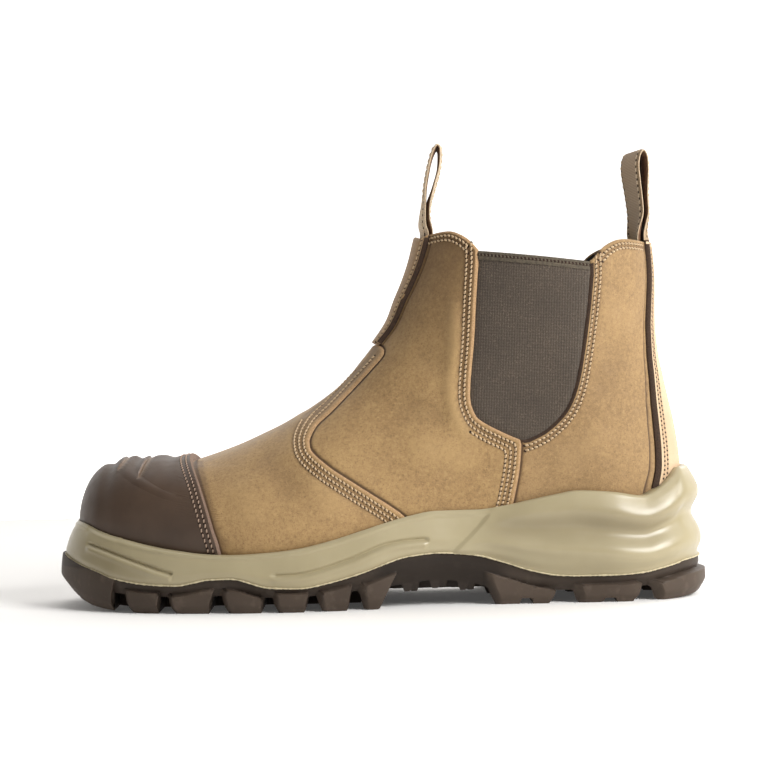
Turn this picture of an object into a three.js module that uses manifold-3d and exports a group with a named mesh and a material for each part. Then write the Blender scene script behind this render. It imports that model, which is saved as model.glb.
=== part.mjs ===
// Side gore work boot, left foot. Millimetres, +Z up, toe towards -X, heel towards +X, outer side towards -Y.
import * as THREE from "three";
import { mergeVertices } from "three/addons/utils/BufferGeometryUtils.js";
import Module from "manifold-3d";

const wasm = await Module();
wasm.setup();

// Driving sizes
const BOOT_LENGTH = 308;
const SHAFT_HEIGHT = 173;
const BALL_WIDTH = 104;
const SOLE_WIDTH = 113;
const WALL = 1.3;
const QUARTER_STEP = 0.9;
const VAMP_STEP = 1.8;
const GAP = 0.3;
const INSOLE_THICKNESS = 4;
const STRIP_WIDTH = 25;
const STRIP_THICKNESS = 2.4;
const CAP_THICKNESS = 3.2;
const BACKSTAY_THICKNESS = 2.2;
const LOOP_WIDTH = 24;
const LOOP_THICKNESS = 1.6;
const LOOP_TWIST = 12;

// Facets: points round a section, sections up the upper
const AROUND = 40;
const SECTIONS = 22;
const SOLE_POINTS = 44;

// The toe of the last from the side: how far forward it reaches at each height
const TOE = [
  { x: -0.4600, z: 0.080 },
  { x: -0.4610, z: 0.170 },
  { x: -0.4605, z: 0.230 },
  { x: -0.4580, z: 0.266 },
  { x: -0.4510, z: 0.305 },
  { x: -0.4412, z: 0.335 },
  { x: -0.4279, z: 0.355 },
  { x: -0.4123, z: 0.368 },
  { x: -0.3900, z: 0.3765 },
];

// The ridge of the last: toe top, vamp, instep, shaft front. reach is how far in the section rounds over
const RIDGE = [
  { x: -0.560, z: 0.378, reach: 0.208, power: 3.0 },
  { x: -0.390, z: 0.378, reach: 0.208, power: 3.0 },
  { x: -0.325, z: 0.377, reach: 0.220, power: 2.9 },
  { x: -0.292, z: 0.381, reach: 0.243, power: 2.7 },
  { x: -0.258, z: 0.398, reach: 0.266, power: 2.4 },
  { x: -0.218, z: 0.423, reach: 0.283, power: 2.2 },
  { x: -0.184, z: 0.449, reach: 0.295, power: 2.1 },
  { x: -0.136, z: 0.489, reach: 0.312, power: 2.0 },
  { x: -0.088, z: 0.541, reach: 0.329, power: 2.0 },
  { x: -0.0495, z: 0.594, reach: 0.335, power: 2.0 },
  { x: -0.0270, z: 0.641, reach: 0.335, power: 2.0 },
  { x: -0.0020, z: 0.696, reach: 0.335, power: 2.0 },
  { x: 0.021, z: 0.755, reach: 0.335, power: 2.0 },
  { x: 0.035, z: 0.816, reach: 0.335, power: 2.0 },
  { x: 0.048, z: 0.869, reach: 0.335, power: 2.0 },
  { x: 0.059, z: 0.924, reach: 0.335, power: 2.0 },
  { x: 0.067, z: 0.978, reach: 0.335, power: 2.0 },
  { x: 0.080, z: 1.064, reach: 0.335, power: 2.0 },
  { x: 0.093, z: 1.156, reach: 0.335, power: 2.0 },
];

// The back of the last: heel, ankle, shaft
const BACK = [
  { z: 0.060, x: 0.440, reach: 0.143 },
  { z: 0.162, x: 0.451, reach: 0.143 },
  { z: 0.231, x: 0.457, reach: 0.143 },
  { z: 0.335, x: 0.458, reach: 0.146 },
  { z: 0.387, x: 0.456, reach: 0.149 },
  { z: 0.474, x: 0.449, reach: 0.156 },
  { z: 0.532, x: 0.442, reach: 0.162 },
  { z: 0.584, x: 0.436, reach: 0.169 },
  { z: 0.671, x: 0.427, reach: 0.175 },
  { z: 0.751, x: 0.424, reach: 0.182 },
  { z: 0.867, x: 0.425, reach: 0.182 },
  { z: 0.971, x: 0.421, reach: 0.182 },
  { z: 1.156, x: 0.412, reach: 0.182 },
];

// The foot from above: half width and how far the middle shifts to the inner side, shares of the ball width
const PLAN = [
  { x: -0.470, half: 0.400, shift: 0.058 },
  { x: -0.357, half: 0.425, shift: 0.058 },
  { x: -0.276, half: 0.457, shift: 0.038 },
  { x: -0.195, half: 0.476, shift: 0.010 },
  { x: -0.130, half: 0.462, shift: -0.010 },
  { x: -0.049, half: 0.419, shift: -0.029 },
  { x: 0.032, half: 0.375, shift: -0.029 },
  { x: 0.130, half: 0.342, shift: -0.019 },
  { x: 0.227, half: 0.332, shift: -0.010 },
  { x: 0.325, half: 0.332, shift: 0.000 },
  { x: 0.458, half: 0.332, shift: 0.000 },
];

// The shaft from the front: half width at each height
const SHAFT = [
  { z: 0.173, half: 0.340 },
  { z: 0.405, half: 0.337 },
  { z: 0.520, half: 0.332 },
  { z: 0.636, half: 0.345 },
  { z: 0.751, half: 0.363 },
  { z: 0.867, half: 0.378 },
  { z: 0.983, half: 0.388 },
  { z: 1.156, half: 0.403 },
];

// Where the foot stands inside the sole: toe spring, ball, waist, heel height
const FOOTBED = [
  { x: -0.560, z: 0.168 },
  { x: -0.458, z: 0.162 },
  { x: -0.390, z: 0.137 },
  { x: -0.308, z: 0.118 },
  { x: -0.195, z: 0.113 },
  { x: -0.114, z: 0.122 },
  { x: -0.032, z: 0.147 },
  { x: 0.040, z: 0.172 },
  { x: 0.120, z: 0.178 },
  { x: 0.325, z: 0.173 },
  { x: 0.560, z: 0.173 },
];

// Sections of the upper: where each starts on the front line, where it ends on the back, and how it sags between
const SECTION = [
  { front: 0.000, back: 0.075, sag: 0.040, lean: 0.90 },
  { front: 0.060, back: 0.190, sag: 0.055, lean: 0.88 },
  { front: 0.130, back: 0.225, sag: 0.070, lean: 0.80 },
  { front: 0.200, back: 0.262, sag: 0.115, lean: 0.70 },
  { front: 0.275, back: 0.300, sag: 0.118, lean: 0.62 },
  { front: 0.350, back: 0.335, sag: 0.127, lean: 0.62 },
  { front: 0.436, back: 0.385, sag: 0.145, lean: 0.62 },
  { front: 0.495, back: 0.430, sag: 0.150, lean: 0.62 },
  { front: 0.557, back: 0.485, sag: 0.143, lean: 0.62 },
  { front: 0.611, back: 0.538, sag: 0.116, lean: 0.64 },
  { front: 0.650, back: 0.590, sag: 0.092, lean: 0.68 },
  { front: 0.695, back: 0.650, sag: 0.069, lean: 0.74 },
  { front: 0.740, back: 0.725, sag: 0.046, lean: 0.82 },
  { front: 0.816, back: 0.850, sag: 0.017, lean: 0.95 },
  { front: 0.886, back: 0.975, sag: 0.004, lean: 1.00 },
  { front: 1.000, back: 1.150, sag: 0.000, lean: 1.00 },
];

// The collar line from the side
const COLLAR = [
  { x: -0.200, z: 1.002 },
  { x: 0.056, z: 1.002 },
  { x: 0.064, z: 0.988 },
  { x: 0.082, z: 0.997 },
  { x: 0.106, z: 1.001 },
  { x: 0.120, z: 0.995 },
  { x: 0.137, z: 0.975 },
  { x: 0.1515, z: 0.945 },
  { x: 0.323, z: 0.908 },
  { x: 0.337, z: 0.936 },
  { x: 0.348, z: 0.952 },
  { x: 0.364, z: 0.965 },
  { x: 0.383, z: 0.969 },
  { x: 0.410, z: 0.966 },
  { x: 0.560, z: 0.975 },
];

// The elastic gore: front edge down, round the bottom, rear edge up
const GORE = [
  { x: 0.1515, z: 1.050 },
  { x: 0.1515, z: 0.909 },
  { x: 0.147, z: 0.809 },
  { x: 0.143, z: 0.703 },
  { x: 0.137, z: 0.597 },
  { x: 0.136, z: 0.544 },
  { x: 0.141, z: 0.512 },
  { x: 0.149, z: 0.491 },
  { x: 0.176, z: 0.463 },
  { x: 0.212, z: 0.435 },
  { x: 0.230, z: 0.442 },
  { x: 0.253, z: 0.465 },
  { x: 0.279, z: 0.512 },
  { x: 0.295, z: 0.577 },
  { x: 0.306, z: 0.670 },
  { x: 0.315, z: 0.776 },
  { x: 0.321, z: 0.873 },
  { x: 0.323, z: 1.050 },
];

// Seams from the side, top to bottom
const SIDE_SEAM = [
  { x: 0.212, z: 0.436 },
  { x: 0.208, z: 0.357 },
  { x: 0.198, z: 0.270 },
  { x: 0.188, z: 0.200 },
  { x: 0.180, z: 0.000 },
];
const VAMP_SEAM = [
  { x: -0.06, z: 0.702 },
  { x: -0.002, z: 0.702 },
  { x: 0.0062, z: 0.690 },
  { x: 0.0055, z: 0.671 },
  { x: -0.0133, z: 0.633 },
  { x: -0.0439, z: 0.577 },
  { x: -0.074, z: 0.523 },
  { x: -0.0948, z: 0.489 },
  { x: -0.1052, z: 0.458 },
  { x: -0.1068, z: 0.438 },
  { x: -0.1011, z: 0.414 },
  { x: -0.0748, z: 0.374 },
  { x: -0.0456, z: 0.339 },
  { x: -0.0136, z: 0.301 },
  { x: 0.0154, z: 0.266 },
  { x: 0.0357, z: 0.236 },
  { x: 0.055, z: 0.190 },
  { x: 0.065, z: 0.000 },
];
const CAP_EDGE = [
  { x: -0.297, z: 0.600 },
  { x: -0.2935, z: 0.410 },
  { x: -0.2755, z: 0.349 },
  { x: -0.2615, z: 0.283 },
  { x: -0.2505, z: 0.216 },
  { x: -0.2435, z: 0.176 },
  { x: -0.2370, z: 0.120 },
  { x: -0.2320, z: 0.000 },
];

// The backstay and the front strip: half width at each height, shares of the strip width
const BACKSTAY = [
  { z: -0.10, half: 1.16 },
  { z: 0.27, half: 1.13 },
  { z: 0.35, half: 1.04 },
  { z: 0.47, half: 0.94 },
  { z: 0.59, half: 0.77 },
  { z: 0.70, half: 0.65 },
  { z: 0.94, half: 0.54 },
  { z: 1.35, half: 0.50 },
];
const FRONT_STRIP = [
  { z: 0.712, half: 0.47 },
  { z: 0.75, half: 0.52 },
  { z: 0.82, half: 0.59 },
  { z: 0.98, half: 0.73 },
  { z: 1.35, half: 0.80 },
];

// Humps of the toe cap: lift along the ridge
const HUMPS = [
  { x: -0.480, lift: 0.000 },
  { x: -0.440, lift: 0.007 },
  { x: -0.425, lift: 0.010 },
  { x: -0.413, lift: 0.000 },
  { x: -0.398, lift: 0.011 },
  { x: -0.385, lift: 0.011 },
  { x: -0.3755, lift: 0.002 },
  { x: -0.360, lift: 0.011 },
  { x: -0.340, lift: 0.011 },
  { x: -0.325, lift: 0.004 },
  { x: -0.310, lift: 0.009 },
  { x: -0.280, lift: 0.012 },
];

// The sole from above: half widths of the outer and inner side, shares of the sole width
const SOLE_PLAN = [
  { x: -0.500, outer: 0.330, inner: 0.400 },
  { x: -0.430, outer: 0.395, inner: 0.455 },
  { x: -0.350, outer: 0.435, inner: 0.492 },
  { x: -0.270, outer: 0.472, inner: 0.502 },
  { x: -0.200, outer: 0.496, inner: 0.500 },
  { x: -0.130, outer: 0.502, inner: 0.472 },
  { x: -0.040, outer: 0.468, inner: 0.415 },
  { x: 0.040, outer: 0.420, inner: 0.360 },
  { x: 0.120, outer: 0.380, inner: 0.345 },
  { x: 0.200, outer: 0.368, inner: 0.350 },
  { x: 0.300, outer: 0.368, inner: 0.362 },
  { x: 0.400, outer: 0.368, inner: 0.366 },
  { x: 0.500, outer: 0.368, inner: 0.366 },
];

// The side of the sole: top of the cup wall, line between midsole and outsole, underside of the outsole's band
const SOLE_SIDE = [
  { x: -0.500, top: 0.236, mid: 0.150, under: 0.105 },
  { x: -0.460, top: 0.229, mid: 0.124, under: 0.078 },
  { x: -0.425, top: 0.206, mid: 0.105, under: 0.060 },
  { x: -0.405, top: 0.196, mid: 0.092, under: 0.053 },
  { x: -0.345, top: 0.171, mid: 0.077, under: 0.046 },
  { x: -0.306, top: 0.160, mid: 0.075, under: 0.043 },
  { x: -0.256, top: 0.150, mid: 0.090, under: 0.044 },
  { x: -0.225, top: 0.148, mid: 0.092, under: 0.046 },
  { x: -0.166, top: 0.153, mid: 0.067, under: 0.040 },
  { x: -0.122, top: 0.162, mid: 0.064, under: 0.038 },
  { x: -0.077, top: 0.179, mid: 0.077, under: 0.045 },
  { x: -0.032, top: 0.202, mid: 0.098, under: 0.050 },
  { x: 0.039, top: 0.237, mid: 0.137, under: 0.063 },
  { x: 0.081, top: 0.249, mid: 0.143, under: 0.070 },
  { x: 0.141, top: 0.249, mid: 0.133, under: 0.060 },
  { x: 0.182, top: 0.258, mid: 0.112, under: 0.040 },
  { x: 0.222, top: 0.272, mid: 0.089, under: 0.036 },
  { x: 0.264, top: 0.286, mid: 0.075, under: 0.034 },
  { x: 0.292, top: 0.294, mid: 0.073, under: 0.034 },
  { x: 0.346, top: 0.288, mid: 0.073, under: 0.034 },
  { x: 0.392, top: 0.276, mid: 0.078, under: 0.038 },
  { x: 0.416, top: 0.291, mid: 0.086, under: 0.040 },
  { x: 0.441, top: 0.320, mid: 0.095, under: 0.044 },
  { x: 0.457, top: 0.346, mid: 0.102, under: 0.048 },
  { x: 0.500, top: 0.349, mid: 0.108, under: 0.052 },
];

// The midsole's wall from its bottom (0) to its top (1): where its front and back end, how far its side stands out
const MID_WALL = [
  { level: 0.00, front: -0.4915, back: 0.4900, side: 0.000 },
  { level: 0.12, front: -0.4915, back: 0.4875, side: 0.005 },
  { level: 0.28, front: -0.4895, back: 0.4830, side: 0.004 },
  { level: 0.45, front: -0.4870, back: 0.4825, side: -0.002 },
  { level: 0.60, front: -0.4840, back: 0.4825, side: -0.008 },
  { level: 0.75, front: -0.4805, back: 0.4815, side: -0.014 },
  { level: 0.90, front: -0.4755, back: 0.4780, side: -0.022 },
  { level: 1.00, front: -0.4710, back: 0.4720, side: -0.030 },
];

// Ribs of the heel's side: how far the wall stands out behind the flare, shares of the sole width
const HEEL_RIBS = [
  { level: 0.00, out: 0.004 },
  { level: 0.18, out: 0.016 },
  { level: 0.34, out: 0.002 },
  { level: 0.50, out: 0.004 },
  { level: 0.66, out: 0.020 },
  { level: 0.82, out: 0.008 },
  { level: 1.00, out: 0.004 },
];

// Tread bars seen from the side: top and bottom ends of each, and how high its shoulders reach
const LUGS = [
  { rear: -0.3980, foot: -0.4030, tip: -0.5200, front: -0.5300, top: 0.115 },
  { rear: -0.3270, foot: -0.3330, tip: -0.3740, front: -0.3810, top: 0.058 },
  { rear: -0.2470, foot: -0.2570, tip: -0.3070, front: -0.3140, top: 0.056 },
  { rear: -0.1715, foot: -0.1790, tip: -0.2260, front: -0.2325, top: 0.056 },
  { rear: -0.1070, foot: -0.1160, tip: -0.1520, front: -0.1565, top: 0.052 },
  { rear: -0.0450, foot: -0.0530, tip: -0.0870, front: -0.0915, top: 0.060 },
  { rear: 0.0175, foot: -0.0060, tip: -0.0250, front: -0.0290, top: 0.080 },
  { rear: 0.2600, foot: 0.2490, tip: 0.1740, front: 0.1620, top: 0.056 },
  { rear: 0.3840, foot: 0.3750, tip: 0.2980, front: 0.2900, top: 0.050 },
  { rear: 0.5300, foot: 0.5200, tip: 0.4180, front: 0.4050, top: 0.070 },
];

// Small ribs across the arch: middle and how far each stands down
const ARCH_RIBS = [
  { x: 0.046, z: 0.042 },
  { x: 0.088, z: 0.048 },
  { x: 0.130, z: 0.040 },
];

// The ground line of the tread: toe spring in front, a small bevel behind
const GROUND = [
  { x: -0.5150, z: 0.0900 },
  { x: -0.4925, z: 0.0690 },
  { x: -0.4650, z: 0.0350 },
  { x: -0.4354, z: 0.0127 },
  { x: -0.4000, z: 0.0040 },
  { x: -0.3600, z: 0.0000 },
  { x: 0.4200, z: 0.0000 },
  { x: 0.4700, z: 0.0070 },
  { x: 0.4935, z: 0.0225 },
  { x: 0.5150, z: 0.0450 },
];

// The pull loops from the side, along the middle of the strap
const FRONT_LOOP = [
  { x: 0.0711, z: 1.0052 },
  { x: 0.0688, z: 1.0318 },
  { x: 0.0740, z: 1.0867 },
  { x: 0.0808, z: 1.1561 },
  { x: 0.0877, z: 1.2098 },
  { x: 0.0942, z: 1.2382 },
  { x: 0.0994, z: 1.2439 },
  { x: 0.1019, z: 1.2283 },
  { x: 0.0997, z: 1.1821 },
  { x: 0.0903, z: 1.1272 },
  { x: 0.0812, z: 1.0855 },
  { x: 0.0763, z: 1.0434 },
  { x: 0.0779, z: 1.0087 },
  { x: 0.0756, z: 0.9682 },
  { x: 0.0688, z: 0.9277 },
  { x: 0.0617, z: 0.8873 },
];
const BACK_LOOP = [
  { x: 0.4231, z: 0.9699, twist: 0.00 },
  { x: 0.4185, z: 1.0000, twist: 0.50 },
  { x: 0.4153, z: 1.0405, twist: 0.80 },
  { x: 0.4130, z: 1.0867, twist: 0.90 },
  { x: 0.4133, z: 1.1329, twist: 0.95 },
  { x: 0.4136, z: 1.1734, twist: 1.05 },
  { x: 0.4120, z: 1.2023, twist: 1.10 },
  { x: 0.4058, z: 1.2179, twist: 1.15 },
  { x: 0.4000, z: 1.2023, twist: 1.10 },
  { x: 0.3981, z: 1.1734, twist: 1.05 },
  { x: 0.4006, z: 1.1329, twist: 0.95 },
  { x: 0.4039, z: 1.0867, twist: 0.90 },
  { x: 0.4065, z: 1.0405, twist: 0.80 },
  { x: 0.4088, z: 1.0000, twist: 0.50 },
  { x: 0.4117, z: 0.9653, twist: 0.10 },
  { x: 0.4133, z: 0.9306, twist: 0.00 },
  { x: 0.4153, z: 0.8902, twist: 0.00 },
];

// A smooth curve through a column of a table
function curve(table, key, column) {
  const xs = table.map((row) => row[key]);
  const ys = table.map((row) => row[column]);
  const count = xs.length;
  const slopes = [];
  for (let i = 0; i < count - 1; i++) {
    slopes.push((ys[i + 1] - ys[i]) / (xs[i + 1] - xs[i]));
  }
  const tangents = [slopes[0]];
  for (let i = 1; i < count - 1; i++) {
    const before = slopes[i - 1];
    const after = slopes[i];
    tangents.push(before * after <= 0 ? 0 : (2 * before * after) / (before + after));
  }
  tangents.push(slopes[count - 2]);
  return (x) => {
    if (x <= xs[0]) return ys[0];
    if (x >= xs[count - 1]) return ys[count - 1];
    let i = 0;
    while (x > xs[i + 1]) i++;
    const h = xs[i + 1] - xs[i];
    const t = (x - xs[i]) / h;
    const t2 = t * t;
    const t3 = t2 * t;
    const start = (2 * t3 - 3 * t2 + 1) * ys[i] + (t3 - 2 * t2 + t) * h * tangents[i];
    return start + (3 * t2 - 2 * t3) * ys[i + 1] + (t3 - t2) * h * tangents[i + 1];
  };
}

function clamp(value, low, high) {
  return Math.min(high, Math.max(low, value));
}

function smooth(low, high, value) {
  const t = clamp((value - low) / (high - low), 0, 1);
  return t * t * (3 - 2 * t);
}

// How wide a rounded end is at a distance in from its tip, as a share of the full width
function rounding(distance, reach, power) {
  const t = clamp(distance / reach, 0, 1);
  return Math.pow(Math.max(0, 1 - Math.pow(1 - t, power)), 1 / power);
}

const L = BOOT_LENGTH;
const H = SHAFT_HEIGHT;

// Tables turned into millimetres and smooth curves
const toeX = curve(TOE, "z", "x");
const backX = curve(BACK, "z", "x");
const backReach = curve(BACK, "z", "reach");
const planHalf = curve(PLAN, "x", "half");
const planShift = curve(PLAN, "x", "shift");
const shaftHalf = curve(SHAFT, "z", "half");
const footbedZ = curve(FOOTBED, "x", "z");

// The front line of the last as a fine chain of points, from under the toe to above the collar
function chain(rows, steps) {
  const points = rows.map((row) => new THREE.Vector2(row.x * L, row.z * H));
  return new THREE.SplineCurve(points).getSpacedPoints(steps);
}
const ridgeChain = chain(RIDGE, 160);
const ridgeRows = RIDGE.map((row) => ({ x: row.x, z: row.z, reach: row.reach, power: row.power }));
const frontLine = chain([...TOE, ...RIDGE.slice(2)], 240);

// The nearest point of the ridge: how far away, and the rounding there
const ridgeTotals = [0];
for (let i = 1; i < ridgeRows.length; i++) {
  const dx = (ridgeRows[i].x - ridgeRows[i - 1].x) * L;
  const dz = (ridgeRows[i].z - ridgeRows[i - 1].z) * H;
  ridgeTotals.push(ridgeTotals[i - 1] + Math.hypot(dx, dz));
}
const ridgeLength = ridgeTotals[ridgeTotals.length - 1];
const ridgeTable = ridgeRows.map((row, i) => ({ along: ridgeTotals[i] / ridgeLength, ...row }));
const ridgeReach = curve(ridgeTable, "along", "reach");
const ridgePower = curve(ridgeTable, "along", "power");

function nearRidge(x, z) {
  let best = Infinity;
  let along = 0;
  let side = 1;
  const count = ridgeChain.length - 1;
  for (let i = 0; i < count; i++) {
    const a = ridgeChain[i];
    const b = ridgeChain[i + 1];
    const ex = b.x - a.x;
    const ez = b.y - a.y;
    const t = clamp(((x - a.x) * ex + (z - a.y) * ez) / (ex * ex + ez * ez), 0, 1);
    const dx = x - a.x - t * ex;
    const dz = z - a.y - t * ez;
    const d = dx * dx + dz * dz;
    if (d < best) {
      best = d;
      along = (i + t) / count;
      side = ex * dz - ez * dx < 0 ? 1 : -1;
    }
  }
  return { distance: side * Math.sqrt(best), along };
}

// Half width of the last at a point of its side view
function halfWidth(x, z) {
  const toe = rounding(x - toeX(z / H) * L, 0.2 * L, 2.3);
  const ridge = nearRidge(x, z);
  const top = rounding(ridge.distance, ridgeReach(ridge.along) * H, ridgePower(ridge.along));
  const heel = rounding(backX(z / H) * L - x, backReach(z / H) * L, 2);
  const foot = planHalf(x / L);
  const shaft = shaftHalf(z / H);
  const up = smooth(0.2, 0.62, z / H) * smooth(-0.12, 0.06, x / L);
  const floor = footbedZ(x / L) * H;
  const tuck = clamp((floor + 0.11 * H - z) / (0.11 * H), 0, 1.4);
  const width = (foot + (shaft - foot) * up) * (1 - 0.07 * tuck * tuck);
  return width * BALL_WIDTH * toe * top * heel;
}

// The middle of the last shifts to the inner side at the toe, and less higher up
function middle(x, z) {
  return planShift(x / L) * BALL_WIDTH * (1 - smooth(0.35, 0.75, z / H));
}

const sectionFront = curve(SECTION, "front", "front");
const sectionBack = curve(SECTION, "front", "back");
const sectionSag = curve(SECTION, "front", "sag");
const sectionLean = curve(SECTION, "front", "lean");

// A point of the last's skin: v runs up the front line, angle runs round the section
function skin(v, angle) {
  const along = clamp(sectionFront(v), 0, 1) * (frontLine.length - 1);
  const index = Math.min(Math.floor(along), frontLine.length - 2);
  const front = frontLine[index].clone().lerp(frontLine[index + 1], along - index);
  const backZ = sectionBack(v);
  const back = new THREE.Vector2(backX(backZ) * L, backZ * H);
  const s = (1 - Math.cos(angle)) / 2;
  const sag = sectionSag(v) * H * Math.sin(Math.PI * Math.pow(s, sectionLean(v)));
  const x = front.x + (back.x - front.x) * s;
  const z = front.y + (back.y - front.y) * s - sag;
  const side = Math.sin(angle) < 0 ? 1 : -1;
  const half = Math.abs(Math.sin(angle)) < 1e-6 ? 0 : halfWidth(x, z);
  return new THREE.Vector3(x, middle(x, z) + side * half, z);
}

function skinNormal(v, angle) {
  const dv = 0.004;
  const da = 0.03;
  const up = skin(Math.min(1, v + dv), angle).sub(skin(Math.max(0, v - dv), angle));
  const round = skin(v, angle + da).sub(skin(v, angle - da));
  return new THREE.Vector3().crossVectors(round, up).normalize();
}

// Sections spaced so that the toe and the instep get more of them
const levels = [];
for (let i = 0; i <= SECTIONS; i++) {
  levels.push(i / SECTIONS);
}
const skinPoints = [];
const skinNormals = [];
for (const v of levels) {
  const ring = [];
  const normals = [];
  for (let j = 0; j < AROUND; j++) {
    const angle = (2 * Math.PI * j) / AROUND;
    ring.push(skin(v, angle));
    normals.push(skinNormal(v, angle));
  }
  skinPoints.push(ring);
  skinNormals.push(normals);
}

// A closed solid from a stack of rings, each with the same number of points. The two ends are closed by strips
// that run across from one side to the other, so point j and point count - j of a ring lie opposite each other
function stack(rings) {
  const positions = [];
  const indices = [];
  const count = rings[0].length;
  for (const ring of rings) {
    for (const p of ring) positions.push(p.x, p.y, p.z);
  }
  for (let i = 0; i < rings.length - 1; i++) {
    for (let j = 0; j < count; j++) {
      const k = (j + 1) % count;
      const a = i * count + j;
      const b = i * count + k;
      const c = a + count;
      const d = b + count;
      indices.push(a, b, d, a, d, c);
    }
  }
  for (const [base, flip] of [[0, true], [(rings.length - 1) * count, false]]) {
    for (let j = 0; j < count / 2; j++) {
      const a = base + j;
      const b = base + j + 1;
      const c = base + ((count - j) % count);
      const d = base + count - j - 1;
      const faces = [];
      if (j > 0) faces.push([a, b, c]);
      if (j > 0 && b !== d) faces.push([b, d, c]);
      if (j === 0) faces.push([a, b, d]);
      for (const [p, q, r] of faces) indices.push(...(flip ? [p, r, q] : [p, q, r]));
    }
  }
  return { positions, indices };
}

// A closed mesh as a solid, turned inside out if its volume comes out negative
function solid(positions, indices) {
  let volume = 0;
  for (let i = 0; i < indices.length; i += 3) {
    const a = new THREE.Vector3().fromArray(positions, indices[i] * 3);
    const b = new THREE.Vector3().fromArray(positions, indices[i + 1] * 3);
    const c = new THREE.Vector3().fromArray(positions, indices[i + 2] * 3);
    volume += a.dot(b.cross(c));
  }
  const order = volume < 0 ? [...indices].reverse() : indices;
  const geometry = new THREE.BufferGeometry();
  geometry.setAttribute("position", new THREE.Float32BufferAttribute(positions, 3));
  geometry.setIndex(order);
  const merged = mergeVertices(geometry, 1e-5);
  const mesh = new wasm.Mesh({
    numProp: 3,
    vertProperties: new Float32Array(merged.attributes.position.array),
    triVerts: new Uint32Array(merged.index.array),
  });
  return new wasm.Manifold(mesh);
}

// The last grown or shrunk by an offset, which may change from point to point
function form(offset) {
  const grow = typeof offset === "function" ? offset : () => offset;
  const rings = skinPoints.map((ring, i) =>
    ring.map((p, j) => p.clone().addScaledVector(skinNormals[i][j], grow(p))),
  );
  const { positions, indices } = stack(rings);
  return solid(positions, indices);
}

// An outline in the side view, extruded across the boot from one y to another
function across(outline, y0, y1) {
  const shape = new THREE.Shape(outline.map((p) => new THREE.Vector2(p.x, p.y)));
  const geometry = new THREE.ExtrudeGeometry(shape, { depth: y1 - y0, bevelEnabled: false });
  geometry.rotateX(Math.PI / 2);
  geometry.translate(0, y1, 0);
  geometry.deleteAttribute("normal");
  geometry.deleteAttribute("uv");
  const merged = mergeVertices(geometry, 1e-5);
  return solid([...merged.attributes.position.array], [...merged.index.array]);
}

// An outline seen from the front, extruded along the boot from one x to another
function along(outline, x0, x1) {
  const shape = new THREE.Shape(outline.map((p) => new THREE.Vector2(p.x, p.y)));
  const geometry = new THREE.ExtrudeGeometry(shape, { depth: x1 - x0, bevelEnabled: false });
  geometry.rotateX(Math.PI / 2);
  geometry.rotateZ(Math.PI / 2);
  geometry.translate(x0, 0, 0);
  geometry.deleteAttribute("normal");
  geometry.deleteAttribute("uv");
  const merged = mergeVertices(geometry, 1e-5);
  return solid([...merged.attributes.position.array], [...merged.index.array]);
}

function line(rows) {
  return rows.map((row) => new THREE.Vector2(row.x * L, row.z * H));
}

// A line moved sideways by a distance, to its left as it runs
function shifted(points, distance) {
  return points.map((p, i) => {
    const a = points[Math.max(0, i - 1)];
    const b = points[Math.min(points.length - 1, i + 1)];
    const run = b.clone().sub(a).normalize();
    return new THREE.Vector2(p.x - run.y * distance, p.y + run.x * distance);
  });
}

// The space above a curve of the side view, and the space below it
function profile(f, lift, steps) {
  const points = [];
  for (let i = 0; i <= steps; i++) {
    const x = (-0.56 + (1.12 * i) / steps) * L;
    points.push(new THREE.Vector2(x, f(x / L) * H + lift));
  }
  return points;
}

function above(f, lift, steps) {
  const top = 1.6 * H;
  const corners = [new THREE.Vector2(0.56 * L, top), new THREE.Vector2(-0.56 * L, top)];
  return across([...profile(f, lift, steps), ...corners], -L, L);
}

function below(f, lift, steps) {
  const bottom = -0.2 * H;
  const corners = [new THREE.Vector2(0.56 * L, bottom), new THREE.Vector2(-0.56 * L, bottom)];
  return across([...profile(f, lift, steps), ...corners], -L, L);
}

const BED_STEPS = 20;
const SOLE_STEPS = 40;
const Y = BALL_WIDTH;
const low = -0.1 * H;
const high = 1.35 * H;

// The areas of the layers in the side view
function vampArea(grow) {
  const rear = shifted(line(VAMP_SEAM), grow);
  const front = shifted(line(CAP_EDGE), grow > 0 ? -grow - GAP - 2 : GAP + 0.4);
  const tipX = rear[0].x;
  const start = new THREE.Vector2(front[0].x, rear[0].y);
  const outline = [...rear.slice().reverse(), start, ...front.slice(0)];
  outline[rear.length - 1] = new THREE.Vector2(tipX, rear[0].y);
  return across(outline, -Y, Y);
}

function quarterArea(grow) {
  const rear = shifted(line(SIDE_SEAM), grow);
  const gore = shifted(line(GORE), 0).slice(0, 10);
  const front = new THREE.Vector2(-0.2 * L, low);
  const frontTop = new THREE.Vector2(-0.2 * L, high);
  const goreTop = new THREE.Vector2(gore[0].x, high);
  const outline = [frontTop, goreTop, ...gore, ...rear.slice(1), front];
  return across(outline, -Y, Y);
}

function capArea(grow) {
  const rear = shifted(line(CAP_EDGE), grow);
  const front = -0.6 * L;
  const outline = [
    ...rear,
    new THREE.Vector2(front, rear[rear.length - 1].y),
    new THREE.Vector2(front, rear[0].y),
  ];
  return across(outline, -Y, Y);
}

// A strip seen along the boot: half its width at each height
function stripOutline(table, grow) {
  const side = table.map((row) => new THREE.Vector2(row.half * STRIP_WIDTH + grow, row.z * H));
  const other = side.map((p) => new THREE.Vector2(-p.x, p.y));
  return [...side, ...other.reverse()];
}

function backstayArea(grow) {
  return along(stripOutline(BACKSTAY, grow), 0.25 * L, 0.6 * L);
}

function stripArea(grow) {
  return along(stripOutline(FRONT_STRIP, grow), -0.1 * L, 0.2 * L);
}

// How much thicker the toe cap is over its humps
const humpLift = curve(HUMPS, "x", "lift");
function capGrow(p) {
  const top = smooth(0.26, 0.37, p.z / H);
  return CAP_THICKNESS + humpLift(p.x / L) * H * top;
}

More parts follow.
